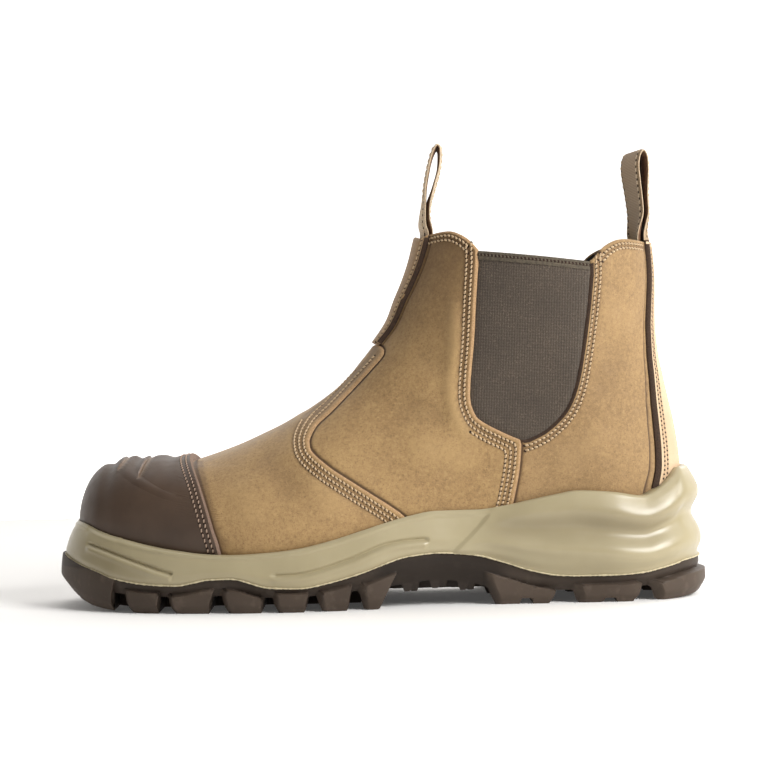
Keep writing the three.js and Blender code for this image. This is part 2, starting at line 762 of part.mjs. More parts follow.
const aboveBed = above(footbedZ, 0, BED_STEPS);
const base = form(0);
const quarterForm = form(QUARTER_STEP);
const vampForm = form(VAMP_STEP);
const capForm = form(capGrow);
const inside = form(-WALL);
const collarOutline = [
  ...line(COLLAR),
  new THREE.Vector2(0.56 * L, low),
  new THREE.Vector2(-0.56 * L, low),
  new THREE.Vector2(-0.56 * L, 1.002 * H),
];
const belowCollar = across(collarOutline, -Y, Y);
const goreHole = across(line(GORE), -Y, Y);

const layers = base.add(quarterForm.intersect(quarterArea(0))).add(vampForm.intersect(vampArea(0)));
const upper = layers.subtract(inside).intersect(belowCollar).intersect(aboveBed).subtract(goreHole);

// Space kept clear for the upper and its overlays in the cup of the sole
const clearance = form(GAP)
  .add(form(QUARTER_STEP + GAP).intersect(quarterArea(GAP)))
  .add(form(VAMP_STEP + GAP).intersect(vampArea(GAP)))
  .add(form((p) => capGrow(p) + GAP).intersect(capArea(GAP)))
  .add(form(BACKSTAY_THICKNESS + GAP).intersect(backstayArea(GAP)))
  .intersect(above(footbedZ, -GAP, BED_STEPS));

const toeCap = capForm.subtract(form(GAP)).intersect(capArea(0)).intersect(aboveBed);
const backstay = form(BACKSTAY_THICKNESS)
  .subtract(form(GAP))
  .intersect(backstayArea(0))
  .intersect(belowCollar)
  .intersect(aboveBed);
const strip = form(QUARTER_STEP + STRIP_THICKNESS)
  .subtract(form(QUARTER_STEP + GAP))
  .intersect(stripArea(0))
  .intersect(belowCollar)
  .subtract(form(VAMP_STEP + STRIP_THICKNESS).intersect(vampArea(GAP)));

// The gores fill their holes a little below the leather
const goreOutline = shifted(line(GORE), GAP);
const goreTopLine = [
  new THREE.Vector2(0.12 * L, 0.951 * H - GAP),
  new THREE.Vector2(0.36 * L, 0.9 * H - GAP),
  new THREE.Vector2(0.36 * L, 0),
  new THREE.Vector2(0.12 * L, 0),
];
const goreShell = form(-0.3).subtract(inside);
function gore(y0, y1) {
  return goreShell.intersect(across(goreOutline, y0, y1)).intersect(across(goreTopLine, y0, y1));
}

// The footbed inside the upper
const insole = form(-WALL - GAP)
  .intersect(aboveBed)
  .intersect(below(footbedZ, INSOLE_THICKNESS, BED_STEPS));

// The sole
const soleOuter = curve(SOLE_PLAN, "x", "outer");
const soleInner = curve(SOLE_PLAN, "x", "inner");
const soleTop = curve(SOLE_SIDE, "x", "top");
const soleMid = curve(SOLE_SIDE, "x", "mid");
const soleUnder = curve(SOLE_SIDE, "x", "under");
const ground = curve(GROUND, "x", "z");

// A ring of the sole: ends at front and back, side standing out, height from a function of x
function soleRing(front, back, side, height, points) {
  const ring = [];
  for (let j = 0; j < points; j++) {
    const angle = (2 * Math.PI * j) / points;
    const s = (1 - Math.cos(angle)) / 2;
    const x = (front + (back - front) * s) * L;
    const outer = Math.sin(angle) > 0;
    const plan = outer ? soleOuter(x / L) : soleInner(x / L);
    const toe = rounding(x - front * L, 0.215 * L, 2.25);
    const heel = rounding(back * L - x, 0.155 * L, 2.15);
    const half = (plan + side(x / L)) * SOLE_WIDTH * toe * heel;
    ring.push(new THREE.Vector3(x, outer ? -half : half, height(x / L) * H));
  }
  return ring;
}

const wallSide = curve(MID_WALL, "level", "side");
const wallFront = curve(MID_WALL, "level", "front");
const wallBack = curve(MID_WALL, "level", "back");
const ribOut = curve(HEEL_RIBS, "level", "out");
function flare(x, level) {
  const edge = 0.105 + 0.06 * level;
  return smooth(edge - 0.012, edge + 0.012, x) * (ribOut(level) + 0.006);
}
const midRings = [];
for (let i = -1; i <= 8; i++) {
  const level = i < 0 ? -0.3 : i / 8;
  const side = (x) => wallSide(level) + flare(x, level);
  const height = (x) => soleMid(x) + (soleTop(x) - soleMid(x)) * level;
  midRings.push(soleRing(wallFront(level), wallBack(level), side, height, SOLE_POINTS));
}
const midForm = stack(midRings);
const midsole = solid(midForm.positions, midForm.indices)
  .intersect(above(soleMid, 0, SOLE_STEPS))
  .subtract(clearance);

// The tread unit: a band under the midsole, and bars standing proud of it
const bandRings = [];
for (const [level, front, back, side] of [
  [0, -0.478, 0.478, -0.03],
  [0.5, -0.492, 0.490, -0.008],
  [1, -0.4925, 0.4890, -0.004],
]) {
  const height = (x) => soleUnder(x) + (soleMid(x) + 0.02 - soleUnder(x)) * level;
  bandRings.push(soleRing(front, back, () => side, height, SOLE_POINTS));
}
const bandForm = stack(bandRings);
const blockRings = [];
for (const [level, front, back, side] of [
  [0, -0.4925, 0.4935, -0.016],
  [0.23, -0.5000, 0.5000, 0.000],
  [0.60, -0.4985, 0.4990, 0.003],
  [1, -0.4945, 0.4915, 0.000],
]) {
  const height = (x) => ground(x) + (soleMid(x) + 0.02 - ground(x)) * level;
  blockRings.push(soleRing(front, back, () => side, height, SOLE_POINTS));
}
const blockForm = stack(blockRings);
const block = solid(blockForm.positions, blockForm.indices);

// Tread bars: outer row, inner row set a little forward, and a middle row between
function bars(shift, y0, y1, scale) {
  let all = null;
  for (const lug of LUGS) {
    const middleX = (lug.front + lug.rear) / 2;
    const place = (x) => (middleX + (x - middleX) * scale + shift) * L;
    const outline = [
      new THREE.Vector2(place(lug.front), lug.top * H),
      new THREE.Vector2(place(lug.tip), -0.02 * H),
      new THREE.Vector2(place(lug.foot), -0.02 * H),
      new THREE.Vector2(place(lug.rear), lug.top * H),
      new THREE.Vector2(place(lug.rear) - 0.012 * L, lug.top * H + 0.03 * H),
      new THREE.Vector2(place(lug.front) + 0.012 * L, lug.top * H + 0.03 * H),
    ];
    const bar = across(outline, y0, y1);
    all = all ? all.add(bar) : bar;
  }
  return all;
}
const channel = 0.035 * SOLE_WIDTH;
const tread = bars(0, -Y, -channel, 1).add(bars(-0.012, channel, Y, 1));
let outsole = solid(bandForm.positions, bandForm.indices).add(block.intersect(tread));
for (const rib of ARCH_RIBS) {
  const ribOutline = [
    new THREE.Vector2((rib.x - 0.009) * L, 0.075 * H),
    new THREE.Vector2((rib.x - 0.005) * L, rib.z * H),
    new THREE.Vector2((rib.x + 0.005) * L, rib.z * H),
    new THREE.Vector2((rib.x + 0.009) * L, 0.075 * H),
  ];
  outsole = outsole.add(block.intersect(across(ribOutline, -Y, Y)));
}
outsole = outsole.intersect(below(soleMid, -GAP, SOLE_STEPS));

// A strap swept through stations, each with a middle, a thickness direction, a width direction and a bow
function strap(stations, width, thickness) {
  const rings = stations.map(({ centre, out, wide, bow }) => {
    const spot = (side, face) => {
      const p = centre.clone().addScaledVector(wide, (side * width) / 2);
      p.addScaledVector(out, (face * thickness) / 2);
      p.x += side === 0 ? 0 : bow;
      return p;
    };
    return [spot(-1, -1), spot(0, -1), spot(1, -1), spot(1, 1), spot(0, 1), spot(-1, 1)];
  });
  const { positions, indices } = stack(rings);
  return solid(positions, indices);
}

// The strap bows round the shaft where it meets it, and lies flat above
const strapBow = 0.0175 * H;
const frontPath = line(FRONT_LOOP);
const frontStations = frontPath.map((p, i) => {
  const a = frontPath[Math.max(0, i - 1)];
  const b = frontPath[Math.min(frontPath.length - 1, i + 1)];
  const run = b.clone().sub(a).normalize();
  return {
    centre: new THREE.Vector3(p.x, 0, p.y),
    out: new THREE.Vector3(-run.y, 0, run.x),
    wide: new THREE.Vector3(0, 1, 0),
    bow: strapBow * (1 - smooth(0.99, 1.15, p.y / H)),
  };
});
const frontLoop = strap(frontStations, LOOP_WIDTH, LOOP_THICKNESS);

const backPath = line(BACK_LOOP);
const backAxis = BACK_LOOP[7].x * L;
const backStations = backPath.map((p, i) => {
  const a = backPath[Math.max(0, i - 1)];
  const b = backPath[Math.min(backPath.length - 1, i + 1)];
  const run = b.clone().sub(a).normalize();
  const turn = (BACK_LOOP[i].twist * LOOP_TWIST * Math.PI) / 180;
  const facing = new THREE.Vector3(Math.cos(turn), Math.sin(turn), 0);
  const centre = facing.clone().multiplyScalar(p.x - backAxis);
  centre.x += backAxis;
  centre.z = p.y;
  const out = facing.clone().multiplyScalar(-run.y);
  out.z = run.x;
  const bow = -strapBow * (1 - smooth(0.975, 1.06, p.y / H));
  return { centre, out, bow, wide: new THREE.Vector3(-Math.sin(turn), Math.cos(turn), 0) };
});
const backLoop = strap(backStations, LOOP_WIDTH, LOOP_THICKNESS);

// Pieces and their plain materials
function material(color, roughness, metalness = 0) {
  return new THREE.MeshStandardMaterial({ color, roughness, metalness });
}
const leather = material(0xad8b62, 0.75);
const darkLeather = material(0x87704f, 0.75);
const guard = material(0x493d31, 0.45);
const elastic = material(0x554740, 0.9);
const foam = material(0xb6a886, 0.35);
const rubber = material(0x4e453d, 0.6);
const bed = material(0x3a3430, 0.9);

const group = new THREE.Group();
group.name = "side_gore_work_boot";

function piece(name, body, look) {
  const { vertProperties, triVerts } = body.getMesh();
  const geometry = new THREE.BufferGeometry();
  geometry.setAttribute("position", new THREE.BufferAttribute(new Float32Array(vertProperties), 3));
  geometry.setIndex(new THREE.BufferAttribute(new Uint32Array(triVerts), 1));
  geometry.computeVertexNormals();
  const mesh = new THREE.Mesh(geometry, look);
  mesh.name = name;
  group.add(mesh);
}

piece("outsole", outsole, rubber);
piece("midsole", midsole, foam);
piece("insole", insole, bed);
piece("upper", upper, leather);
piece("toe_cap", toeCap, guard);
piece("front_strip", strip, leather);
piece("backstay", backstay, leather);
piece("gore_lateral", gore(-Y, 0), elastic);
piece("gore_medial", gore(0, Y), elastic);
piece("pull_loop_front", frontLoop, darkLeather);
piece("pull_loop_back", backLoop, darkLeather);

export default group;
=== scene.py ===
import math

import bpy
import numpy as np
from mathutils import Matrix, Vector
from mathutils.bvhtree import BVHTree


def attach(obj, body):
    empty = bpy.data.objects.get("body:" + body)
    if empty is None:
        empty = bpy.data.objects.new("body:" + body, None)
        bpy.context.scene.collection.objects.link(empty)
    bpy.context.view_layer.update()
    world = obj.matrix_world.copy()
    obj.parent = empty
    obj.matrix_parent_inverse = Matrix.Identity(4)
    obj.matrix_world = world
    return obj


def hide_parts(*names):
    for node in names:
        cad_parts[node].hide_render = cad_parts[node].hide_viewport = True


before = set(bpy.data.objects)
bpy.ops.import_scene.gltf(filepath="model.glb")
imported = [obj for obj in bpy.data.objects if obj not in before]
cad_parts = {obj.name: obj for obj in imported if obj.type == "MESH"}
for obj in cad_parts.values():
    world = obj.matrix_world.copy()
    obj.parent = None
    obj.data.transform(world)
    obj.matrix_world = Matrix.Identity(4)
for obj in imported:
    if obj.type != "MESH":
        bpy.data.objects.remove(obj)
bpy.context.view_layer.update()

# Driving sizes
MM = 0.001
L = 0.308
H = 0.173
BALL_WIDTH = 0.104
SOLE_WIDTH = 0.113
STRIP_WIDTH = 0.025
CAP_THICKNESS = 0.0032
LOOP_WIDTH = 0.024
LOOP_THICKNESS = 0.0016
LOOP_TWIST = 12
GAP = 0.0003

# Offsets of the layers from the skin of the last, outwards
LEATHER_BACK = -0.00095
QUARTER_STEP = 0.0009
VAMP_STEP = 0.0018
STRIP_FACE = 0.0033
STRIP_BACK = 0.0011
BACKSTAY_FACE = 0.0022
LINING_FACE = -0.00096
LINING_BACK = -0.00135

# How rows of stitches and the pieces on top press the leather
SEAM_DEPTH = 0.0002
SEAM_SOFTNESS = 0.0012
STEP_DEPTH = 0.0003

# How far forward the tread's bars sit on the inner side, as a share of the length
BAR_SHIFT = -0.012

# Fineness of the grids: rows and columns of the upper, stations, levels and cells across of the sole
ROWS = 221
COLUMNS = 312
STATIONS = 620
WALL_LEVELS = 46
SOLE_LEVELS = 34
ACROSS = 56

# Studio light
KEY_POWER = 24
TOP_POWER = 6
FILL_POWER = 2
RIM_POWER = 5
WORLD_LIGHT = 0.1
FLOOR_GLOW = 0.05
WALL_GLOW = 0.74

# Camera, at the angle of the photograph
CAMERA_PLACE = (0.00233, -0.9, 0.1023)
CAMERA_ROLL = 1.24
CAMERA_LENS = 87.8
CAMERA_SENSOR = 36

# The last: columns are shares of the length L, the height H and the ball width
# toe: x, z
TOE = [
    (-0.4600, 0.080), (-0.4610, 0.170), (-0.4605, 0.230), (-0.4580, 0.266), (-0.4510, 0.305),
    (-0.4412, 0.335), (-0.4279, 0.355), (-0.4123, 0.368), (-0.3900, 0.3765),
]
# ridge: x, z, reach, power
RIDGE = [
    (-0.560, 0.378, 0.208, 3.0), (-0.390, 0.378, 0.208, 3.0), (-0.325, 0.377, 0.220, 2.9),
    (-0.292, 0.381, 0.243, 2.7), (-0.258, 0.398, 0.266, 2.4), (-0.218, 0.423, 0.283, 2.2),
    (-0.184, 0.449, 0.295, 2.1), (-0.136, 0.489, 0.312, 2.0), (-0.088, 0.541, 0.329, 2.0),
    (-0.0495, 0.594, 0.335, 2.0), (-0.0270, 0.641, 0.335, 2.0), (-0.0020, 0.696, 0.335, 2.0),
    (0.021, 0.755, 0.335, 2.0), (0.035, 0.816, 0.335, 2.0), (0.048, 0.869, 0.335, 2.0),
    (0.059, 0.924, 0.335, 2.0), (0.067, 0.978, 0.335, 2.0), (0.080, 1.064, 0.335, 2.0),
    (0.093, 1.156, 0.335, 2.0),
]
# back: z, x, reach
BACK = [
    (0.060, 0.440, 0.143), (0.162, 0.451, 0.143), (0.231, 0.457, 0.143), (0.335, 0.458, 0.146),
    (0.387, 0.456, 0.149), (0.474, 0.449, 0.156), (0.532, 0.442, 0.162), (0.584, 0.436, 0.169),
    (0.671, 0.427, 0.175), (0.751, 0.424, 0.182), (0.867, 0.425, 0.182), (0.971, 0.421, 0.182),
    (1.156, 0.412, 0.182),
]
# plan: x, half, shift
PLAN = [
    (-0.470, 0.400, 0.058), (-0.357, 0.425, 0.058), (-0.276, 0.457, 0.038), (-0.195, 0.476, 0.010),
    (-0.130, 0.462, -0.010), (-0.049, 0.419, -0.029), (0.032, 0.375, -0.029), (0.130, 0.342, -0.019),
    (0.227, 0.332, -0.010), (0.325, 0.332, 0.000), (0.458, 0.332, 0.000),
]
# shaft: z, half
SHAFT = [
    (0.173, 0.340), (0.405, 0.337), (0.520, 0.332), (0.636, 0.345), (0.751, 0.363), (0.867, 0.378),
    (0.983, 0.388), (1.156, 0.403),
]
# footbed: x, z
FOOTBED = [
    (-0.560, 0.168), (-0.458, 0.162), (-0.390, 0.137), (-0.308, 0.118), (-0.195, 0.113), (-0.114, 0.122),
    (-0.032, 0.147), (0.040, 0.172), (0.120, 0.178), (0.325, 0.173), (0.560, 0.173),
]
# section: front, back, sag, lean
SECTION = [
    (0.000, 0.075, 0.040, 0.90), (0.060, 0.190, 0.055, 0.88), (0.130, 0.225, 0.070, 0.80),
    (0.200, 0.262, 0.115, 0.70), (0.275, 0.300, 0.118, 0.62), (0.350, 0.335, 0.127, 0.62),
    (0.436, 0.385, 0.145, 0.62), (0.495, 0.430, 0.150, 0.62), (0.557, 0.485, 0.143, 0.62),
    (0.611, 0.538, 0.116, 0.64), (0.650, 0.590, 0.092, 0.68), (0.695, 0.650, 0.069, 0.74),
    (0.740, 0.725, 0.046, 0.82), (0.816, 0.850, 0.017, 0.95), (0.886, 0.975, 0.004, 1.00),
    (1.000, 1.150, 0.000, 1.00),
]
# collar: x, z
COLLAR = [
    (-0.200, 1.002), (0.056, 1.002), (0.064, 0.988), (0.082, 0.997), (0.106, 1.001), (0.120, 0.995),
    (0.137, 0.975), (0.1515, 0.945), (0.323, 0.908), (0.337, 0.936), (0.348, 0.952), (0.364, 0.965),
    (0.383, 0.969), (0.410, 0.966), (0.560, 0.975),
]
# gore: x, z
GORE = [
    (0.1515, 1.050), (0.1515, 0.909), (0.147, 0.809), (0.143, 0.703), (0.137, 0.597), (0.136, 0.544),
    (0.141, 0.512), (0.149, 0.491), (0.176, 0.463), (0.212, 0.435), (0.230, 0.442), (0.253, 0.465),
    (0.279, 0.512), (0.295, 0.577), (0.306, 0.670), (0.315, 0.776), (0.321, 0.873), (0.323, 1.050),
]
# side_seam: x, z
SIDE_SEAM = [
    (0.212, 0.436), (0.208, 0.357), (0.198, 0.270), (0.188, 0.200), (0.180, 0.000),
]
# vamp_seam: x, z
VAMP_SEAM = [
    (-0.0600, 0.702), (-0.0020, 0.702), (0.0062, 0.690), (0.0055, 0.671), (-0.0133, 0.633),
    (-0.0439, 0.577), (-0.0740, 0.523), (-0.0948, 0.489), (-0.1052, 0.458), (-0.1068, 0.438),
    (-0.1011, 0.414), (-0.0748, 0.374), (-0.0456, 0.339), (-0.0136, 0.301), (0.0154, 0.266),
    (0.0357, 0.236), (0.0550, 0.190), (0.0650, 0.000),
]
# cap_edge: x, z
CAP_EDGE = [
    (-0.297, 0.600), (-0.2935, 0.410), (-0.2755, 0.349), (-0.2615, 0.283), (-0.2505, 0.216),
    (-0.2435, 0.176), (-0.2370, 0.120), (-0.2320, 0.000),
]
# humps: x, lift
HUMPS = [
    (-0.480, 0.000), (-0.440, 0.007), (-0.425, 0.010), (-0.413, 0.000), (-0.398, 0.011), (-0.385, 0.011),
    (-0.3755, 0.002), (-0.360, 0.011), (-0.340, 0.011), (-0.325, 0.004), (-0.310, 0.009),
    (-0.280, 0.012),
]
# sole_plan: x, outer, inner
SOLE_PLAN = [
    (-0.500, 0.330, 0.400), (-0.430, 0.395, 0.455), (-0.350, 0.435, 0.492), (-0.270, 0.472, 0.502),
    (-0.200, 0.496, 0.500), (-0.130, 0.502, 0.472), (-0.040, 0.468, 0.415), (0.040, 0.420, 0.360),
    (0.120, 0.380, 0.345), (0.200, 0.368, 0.350), (0.300, 0.368, 0.362), (0.400, 0.368, 0.366),
    (0.500, 0.368, 0.366),
]
# sole_side: x, top, mid, under
SOLE_SIDE = [
    (-0.500, 0.236, 0.150, 0.105), (-0.460, 0.229, 0.124, 0.078), (-0.425, 0.206, 0.105, 0.060),
    (-0.405, 0.196, 0.092, 0.053), (-0.345, 0.171, 0.077, 0.046), (-0.306, 0.160, 0.075, 0.043),
    (-0.256, 0.150, 0.090, 0.044), (-0.225, 0.148, 0.092, 0.046), (-0.166, 0.153, 0.067, 0.040),
    (-0.122, 0.162, 0.064, 0.038), (-0.077, 0.179, 0.077, 0.045), (-0.032, 0.202, 0.098, 0.050),
    (0.039, 0.237, 0.137, 0.063), (0.081, 0.249, 0.143, 0.070), (0.141, 0.249, 0.133, 0.060),
    (0.182, 0.258, 0.112, 0.040), (0.222, 0.272, 0.089, 0.036), (0.264, 0.286, 0.075, 0.034),
    (0.292, 0.294, 0.073, 0.034), (0.346, 0.288, 0.073, 0.034), (0.392, 0.276, 0.078, 0.038),
    (0.416, 0.291, 0.086, 0.040), (0.441, 0.320, 0.095, 0.044), (0.457, 0.346, 0.102, 0.048),
    (0.500, 0.349, 0.108, 0.052),
]
# mid_wall: level, front, back, side
MID_WALL = [
    (0.00, -0.4915, 0.4900, 0.000), (0.12, -0.4915, 0.4875, 0.005), (0.28, -0.4895, 0.4830, 0.004),
    (0.45, -0.4870, 0.4825, -0.002), (0.60, -0.4840, 0.4825, -0.008), (0.75, -0.4805, 0.4815, -0.014),
    (0.90, -0.4755, 0.4780, -0.022), (1.00, -0.4710, 0.4720, -0.030),
]
# lugs: rear, foot, tip, front, top
LUGS = [
    (-0.3980, -0.4030, -0.5200, -0.5300, 0.115), (-0.3270, -0.3330, -0.3740, -0.3810, 0.058),
    (-0.2470, -0.2570, -0.3070, -0.3140, 0.056), (-0.1715, -0.1790, -0.2260, -0.2325, 0.056),
    (-0.1070, -0.1160, -0.1520, -0.1565, 0.052), (-0.0450, -0.0530, -0.0870, -0.0915, 0.060),
    (0.0175, -0.0060, -0.0250, -0.0290, 0.080), (0.2600, 0.2490, 0.1740, 0.1620, 0.056),
    (0.3840, 0.3750, 0.2980, 0.2900, 0.050), (0.5300, 0.5200, 0.4180, 0.4050, 0.070),
]
# arch_ribs: x, z
ARCH_RIBS = [
    (0.046, 0.042), (0.088, 0.048), (0.130, 0.040),
]
# ground: x, z
GROUND = [
    (-0.5150, 0.0900), (-0.4925, 0.0690), (-0.4650, 0.0350), (-0.4354, 0.0127), (-0.4000, 0.0040),
    (-0.3600, 0.0000), (0.4200, 0.0000), (0.4700, 0.0070), (0.4935, 0.0225), (0.5150, 0.0450),
]
# front_loop: x, z
FRONT_LOOP = [
    (0.0711, 1.0052), (0.0688, 1.0318), (0.0740, 1.0867), (0.0808, 1.1561), (0.0877, 1.2098),
    (0.0942, 1.2382), (0.0994, 1.2439), (0.1019, 1.2283), (0.0997, 1.1821), (0.0903, 1.1272),
    (0.0812, 1.0855), (0.0763, 1.0434), (0.0779, 1.0087), (0.0756, 0.9682), (0.0688, 0.9277),
    (0.0617, 0.8873),
]
# back_loop: x, z, twist
BACK_LOOP = [
    (0.4231, 0.9699, 0.00), (0.4185, 1.0000, 0.50), (0.4153, 1.0405, 0.80), (0.4130, 1.0867, 0.90),
    (0.4133, 1.1329, 0.95), (0.4136, 1.1734, 1.05), (0.4120, 1.2023, 1.10), (0.4058, 1.2179, 1.15),
    (0.4000, 1.2023, 1.10), (0.3981, 1.1734, 1.05), (0.4006, 1.1329, 0.95), (0.4039, 1.0867, 0.90),
    (0.4065, 1.0405, 0.80), (0.4088, 1.0000, 0.50), (0.4117, 0.9653, 0.10), (0.4133, 0.9306, 0.00),
    (0.4153, 0.8902, 0.00),
]
# Folds of the leather: line in the side view in millimetres, width and height of the fold in millimetres
FOLDS = [
    ([(36, 150), (35, 122), (33, 103), (35, 87), (41, 78), (52, 71)], 3.2, 0.9),
    ([(40, 150), (39.5, 122), (38, 103), (39.5, 90), (45, 82), (56, 76)], 2.0, -0.5),
    ([(-34, 62), (-24, 50), (-12, 44)], 7.0, 0.5),
    ([(-58, 74), (-46, 60), (-40, 46)], 8.0, -0.7),
    ([(-30, 88), (-38, 76), (-40, 64)], 7.0, 0.6),
    ([(6, 96), (20, 88), (34, 84)], 8.0, -0.6),
    ([(10, 76), (28, 70), (46, 62)], 9.0, 0.6),
    ([(76, 62), (94, 70), (108, 84)], 8.0, 0.5),
    ([(96, 96), (108, 108), (114, 124)], 9.0, -0.5),
    ([(100, 140), (112, 132), (124, 128)], 8.0, 0.4),
    ([(16, 118), (26, 112), (36, 112)], 6.0, -0.5),
    ([(-66, 60), (-60, 46), (-58, 36)], 9.0, 0.5),
]

# Claws of the toe cap, in millimetres: line of the crease from the crown down, width of its ramp, depth
CLAWS = [
    ([(-120.6, 77), (-121.4, 70), (-122.0, 65), (-122.6, 60.5)], 5.0, 1.9),
    ([(-110.0, 78), (-110.8, 71), (-111.8, 64), (-113.0, 57.5)], 6.0, 2.4),
    ([(-95.4, 78), (-96.6, 72), (-98.4, 65)], 4.5, 0.9),
]

# Grooves of the midsole's side, in millimetres: line, width and depth of the groove, height of its lip
GROOVES = [
    ([(-138.4, 31.2), (-128.5, 28.3), (-114.9, 23.9), (-101.4, 19.5), (-95.3, 18.0)], 0.9, 1.5, 0.6),
    ([(-138, 37.6), (-130, 35.8), (-122, 33.6)], 1.1, 0.6, 0.2),
    (
        [(-51.8, 17.4), (-46.8, 16.8), (-33.3, 17.9), (-15.6, 22.9), (1.7, 29.3), (17, 31), (21.7, 30.2)],
        0.9,
        1.4,
        0.8,
    ),
]

# The backstay and the front strip: height, half width in shares of the strip width
BACKSTAY = [
    (-0.10, 1.16), (0.27, 1.13), (0.35, 1.04), (0.47, 0.94),
    (0.59, 0.77), (0.70, 0.65), (0.94, 0.54), (1.35, 0.50),
]
FRONT_STRIP = [(0.712, 0.47), (0.75, 0.52), (0.82, 0.59), (0.98, 0.73), (1.35, 0.80)]

# Notches in the underside of the heel bars, in metres: start, end and height
NOTCHES = [(0.0626, 0.0679, 0.0027), (0.1009, 0.1067, 0.0020)]


# Curves and lines


def curve(table, key, column):
    xs = np.array([row[key] for row in table], float)
    ys = np.array([row[column] for row in table], float)
    slopes = np.diff(ys) / np.diff(xs)
    before, after = slopes[:-1], slopes[1:]
    total = np.where(np.abs(before + after) < 1e-12, 1, before + after)
    inner = np.where(before * after <= 0, 0, 2 * before * after / total)
    tangents = np.concatenate([slopes[:1], inner, slopes[-1:]])

    def value(x):
        x = np.clip(x, xs[0], xs[-1])
        i = np.clip(np.searchsorted(xs, x, side="right") - 1, 0, len(xs) - 2)
        h = xs[i + 1] - xs[i]
        t = (x - xs[i]) / h
        start = (2 * t**3 - 3 * t**2 + 1) * ys[i] + (t**3 - 2 * t**2 + t) * h * tangents[i]
        return start + (3 * t**2 - 2 * t**3) * ys[i + 1] + (t**3 - t**2) * h * tangents[i + 1]

    return value


def smooth(low, high, value):
    t = np.clip((value - low) / (high - low), 0, 1)
    return t * t * (3 - 2 * t)


def bell(value, width):
    return np.exp(-((value / width) ** 2))


def rounding(distance, reach, power):
    t = np.clip(distance / reach, 0, 1)
    return np.maximum(0, 1 - (1 - t) ** power) ** (1 / power)


def unit(vectors):
    return vectors / np.linalg.norm(vectors, axis=-1, keepdims=True)


def run_length(points):
    """How far along a line each of its points is."""
    return np.concatenate([[0], np.cumsum(np.linalg.norm(np.diff(points, axis=0), axis=1))])


def sample(rows, gone, at):
    """The rows read off at places along a line, where gone is how far along each row is."""
    return np.stack([np.interp(at, gone, column) for column in rows.T], axis=-1)


def chain(points, steps):
    """An even line of points along a smooth curve through a few points."""
    points = np.array(points, float)
    padded = np.vstack([points[:1], points, points[-1:]])
    t = np.linspace(0, 1, 24, endpoint=False)[:, None]
    parts = []
    for i in range(len(points) - 1):
        a, b, c, d = padded[i : i + 4]
        v0 = (c - a) / 2
        v1 = (d - b) / 2
        parts.append((2 * b - 2 * c + v0 + v1) * t**3 + (3 * c - 3 * b - 2 * v0 - v1) * t**2 + v0 * t + b)
    fine = np.vstack(parts + [points[-1:]])
    gone = run_length(fine)
    return sample(fine, gone, np.linspace(0, gone[-1], steps + 1))


def line(rows):
    return np.array([(row[0] * L, row[1] * H) for row in rows])


toe_x = curve(TOE, 1, 0)
back_x = curve(BACK, 0, 1)
back_reach = curve(BACK, 0, 2)
plan_half = curve(PLAN, 0, 1)
plan_shift = curve(PLAN, 0, 2)
shaft_half = curve(SHAFT, 0, 1)
footbed_z = curve(FOOTBED, 0, 1)
section_back = curve(SECTION, 0, 1)
section_sag = curve(SECTION, 0, 2)
section_lean = curve(SECTION, 0, 3)
hump_lift = curve(HUMPS, 0, 1)

ridge = chain(line(RIDGE), 160)
front_line = chain(line([*TOE, *[row[:2] for row in RIDGE[2:]]]), 240)
ridge_steps = np.linalg.norm(np.diff(line(RIDGE), axis=0), axis=1)
ridge_share = np.concatenate([[0], np.cumsum(ridge_steps)]) / ridge_steps.sum()
ridge_rows = [(share, row[2], row[3]) for share, row in zip(ridge_share, RIDGE)]
ridge_reach = curve(ridge_rows, 0, 1)
ridge_power = curve(ridge_rows, 0, 2)


def nearest(points, way, chunk=20000):
    """For each point of the side view: how far the line is, where along it, and on which side."""
    a = way[:-1]
    e = way[1:] - a
    ee = (e**2).sum(1)
    distance = np.empty(len(points))
    along = np.empty(len(points))
    for first in range(0, len(points), chunk):
        part = slice(first, first + chunk)
        dx = points[part, 0][:, None] - a[:, 0]
        dz = points[part, 1][:, None] - a[:, 1]
        t = np.clip((dx * e[:, 0] + dz * e[:, 1]) / ee, 0, 1)
        dx -= t * e[:, 0]
        dz -= t * e[:, 1]
        squares = dx**2 + dz**2
        k = squares.argmin(1)
        rows = np.arange(len(k))
        side = np.where(e[k, 0] * dz[rows, k] - e[k, 1] * dx[rows, k] < 0, 1.0, -1.0)
        distance[part] = side * np.sqrt(squares[rows, k])
        along[part] = (k + t[rows, k]) / len(a)
    return distance, along


def half_width(x, z, front):
    distance, along = nearest(np.stack([x, z], axis=1), ridge)
    distance = distance - np.minimum(nearest(front, ridge)[0], 0)
    toe_start = np.minimum(front[:, 0] - toe_x(front[:, 1] / H) * L, 0)
    toe = rounding(x - toe_x(z / H) * L - toe_start, 0.2 * L, 2.3)
    top = rounding(distance, ridge_reach(along) * H, ridge_power(along))
    heel = rounding(back_x(z / H) * L - x, back_reach(z / H) * L, 2)
    foot = plan_half(x / L)
    up = smooth(0.2, 0.62, z / H) * smooth(-0.12, 0.06, x / L)
    floor = footbed_z(x / L) * H
    tuck = np.clip((floor + 0.11 * H - z) / (0.11 * H), 0, 1.4)
    width = (foot + (shaft_half(z / H) - foot) * up) * (1 - 0.07 * tuck**2)
    return width * BALL_WIDTH * toe * top * heel


def middle(x, z):
    return plan_shift(x / L) * BALL_WIDTH * (1 - smooth(0.35, 0.75, z / H))


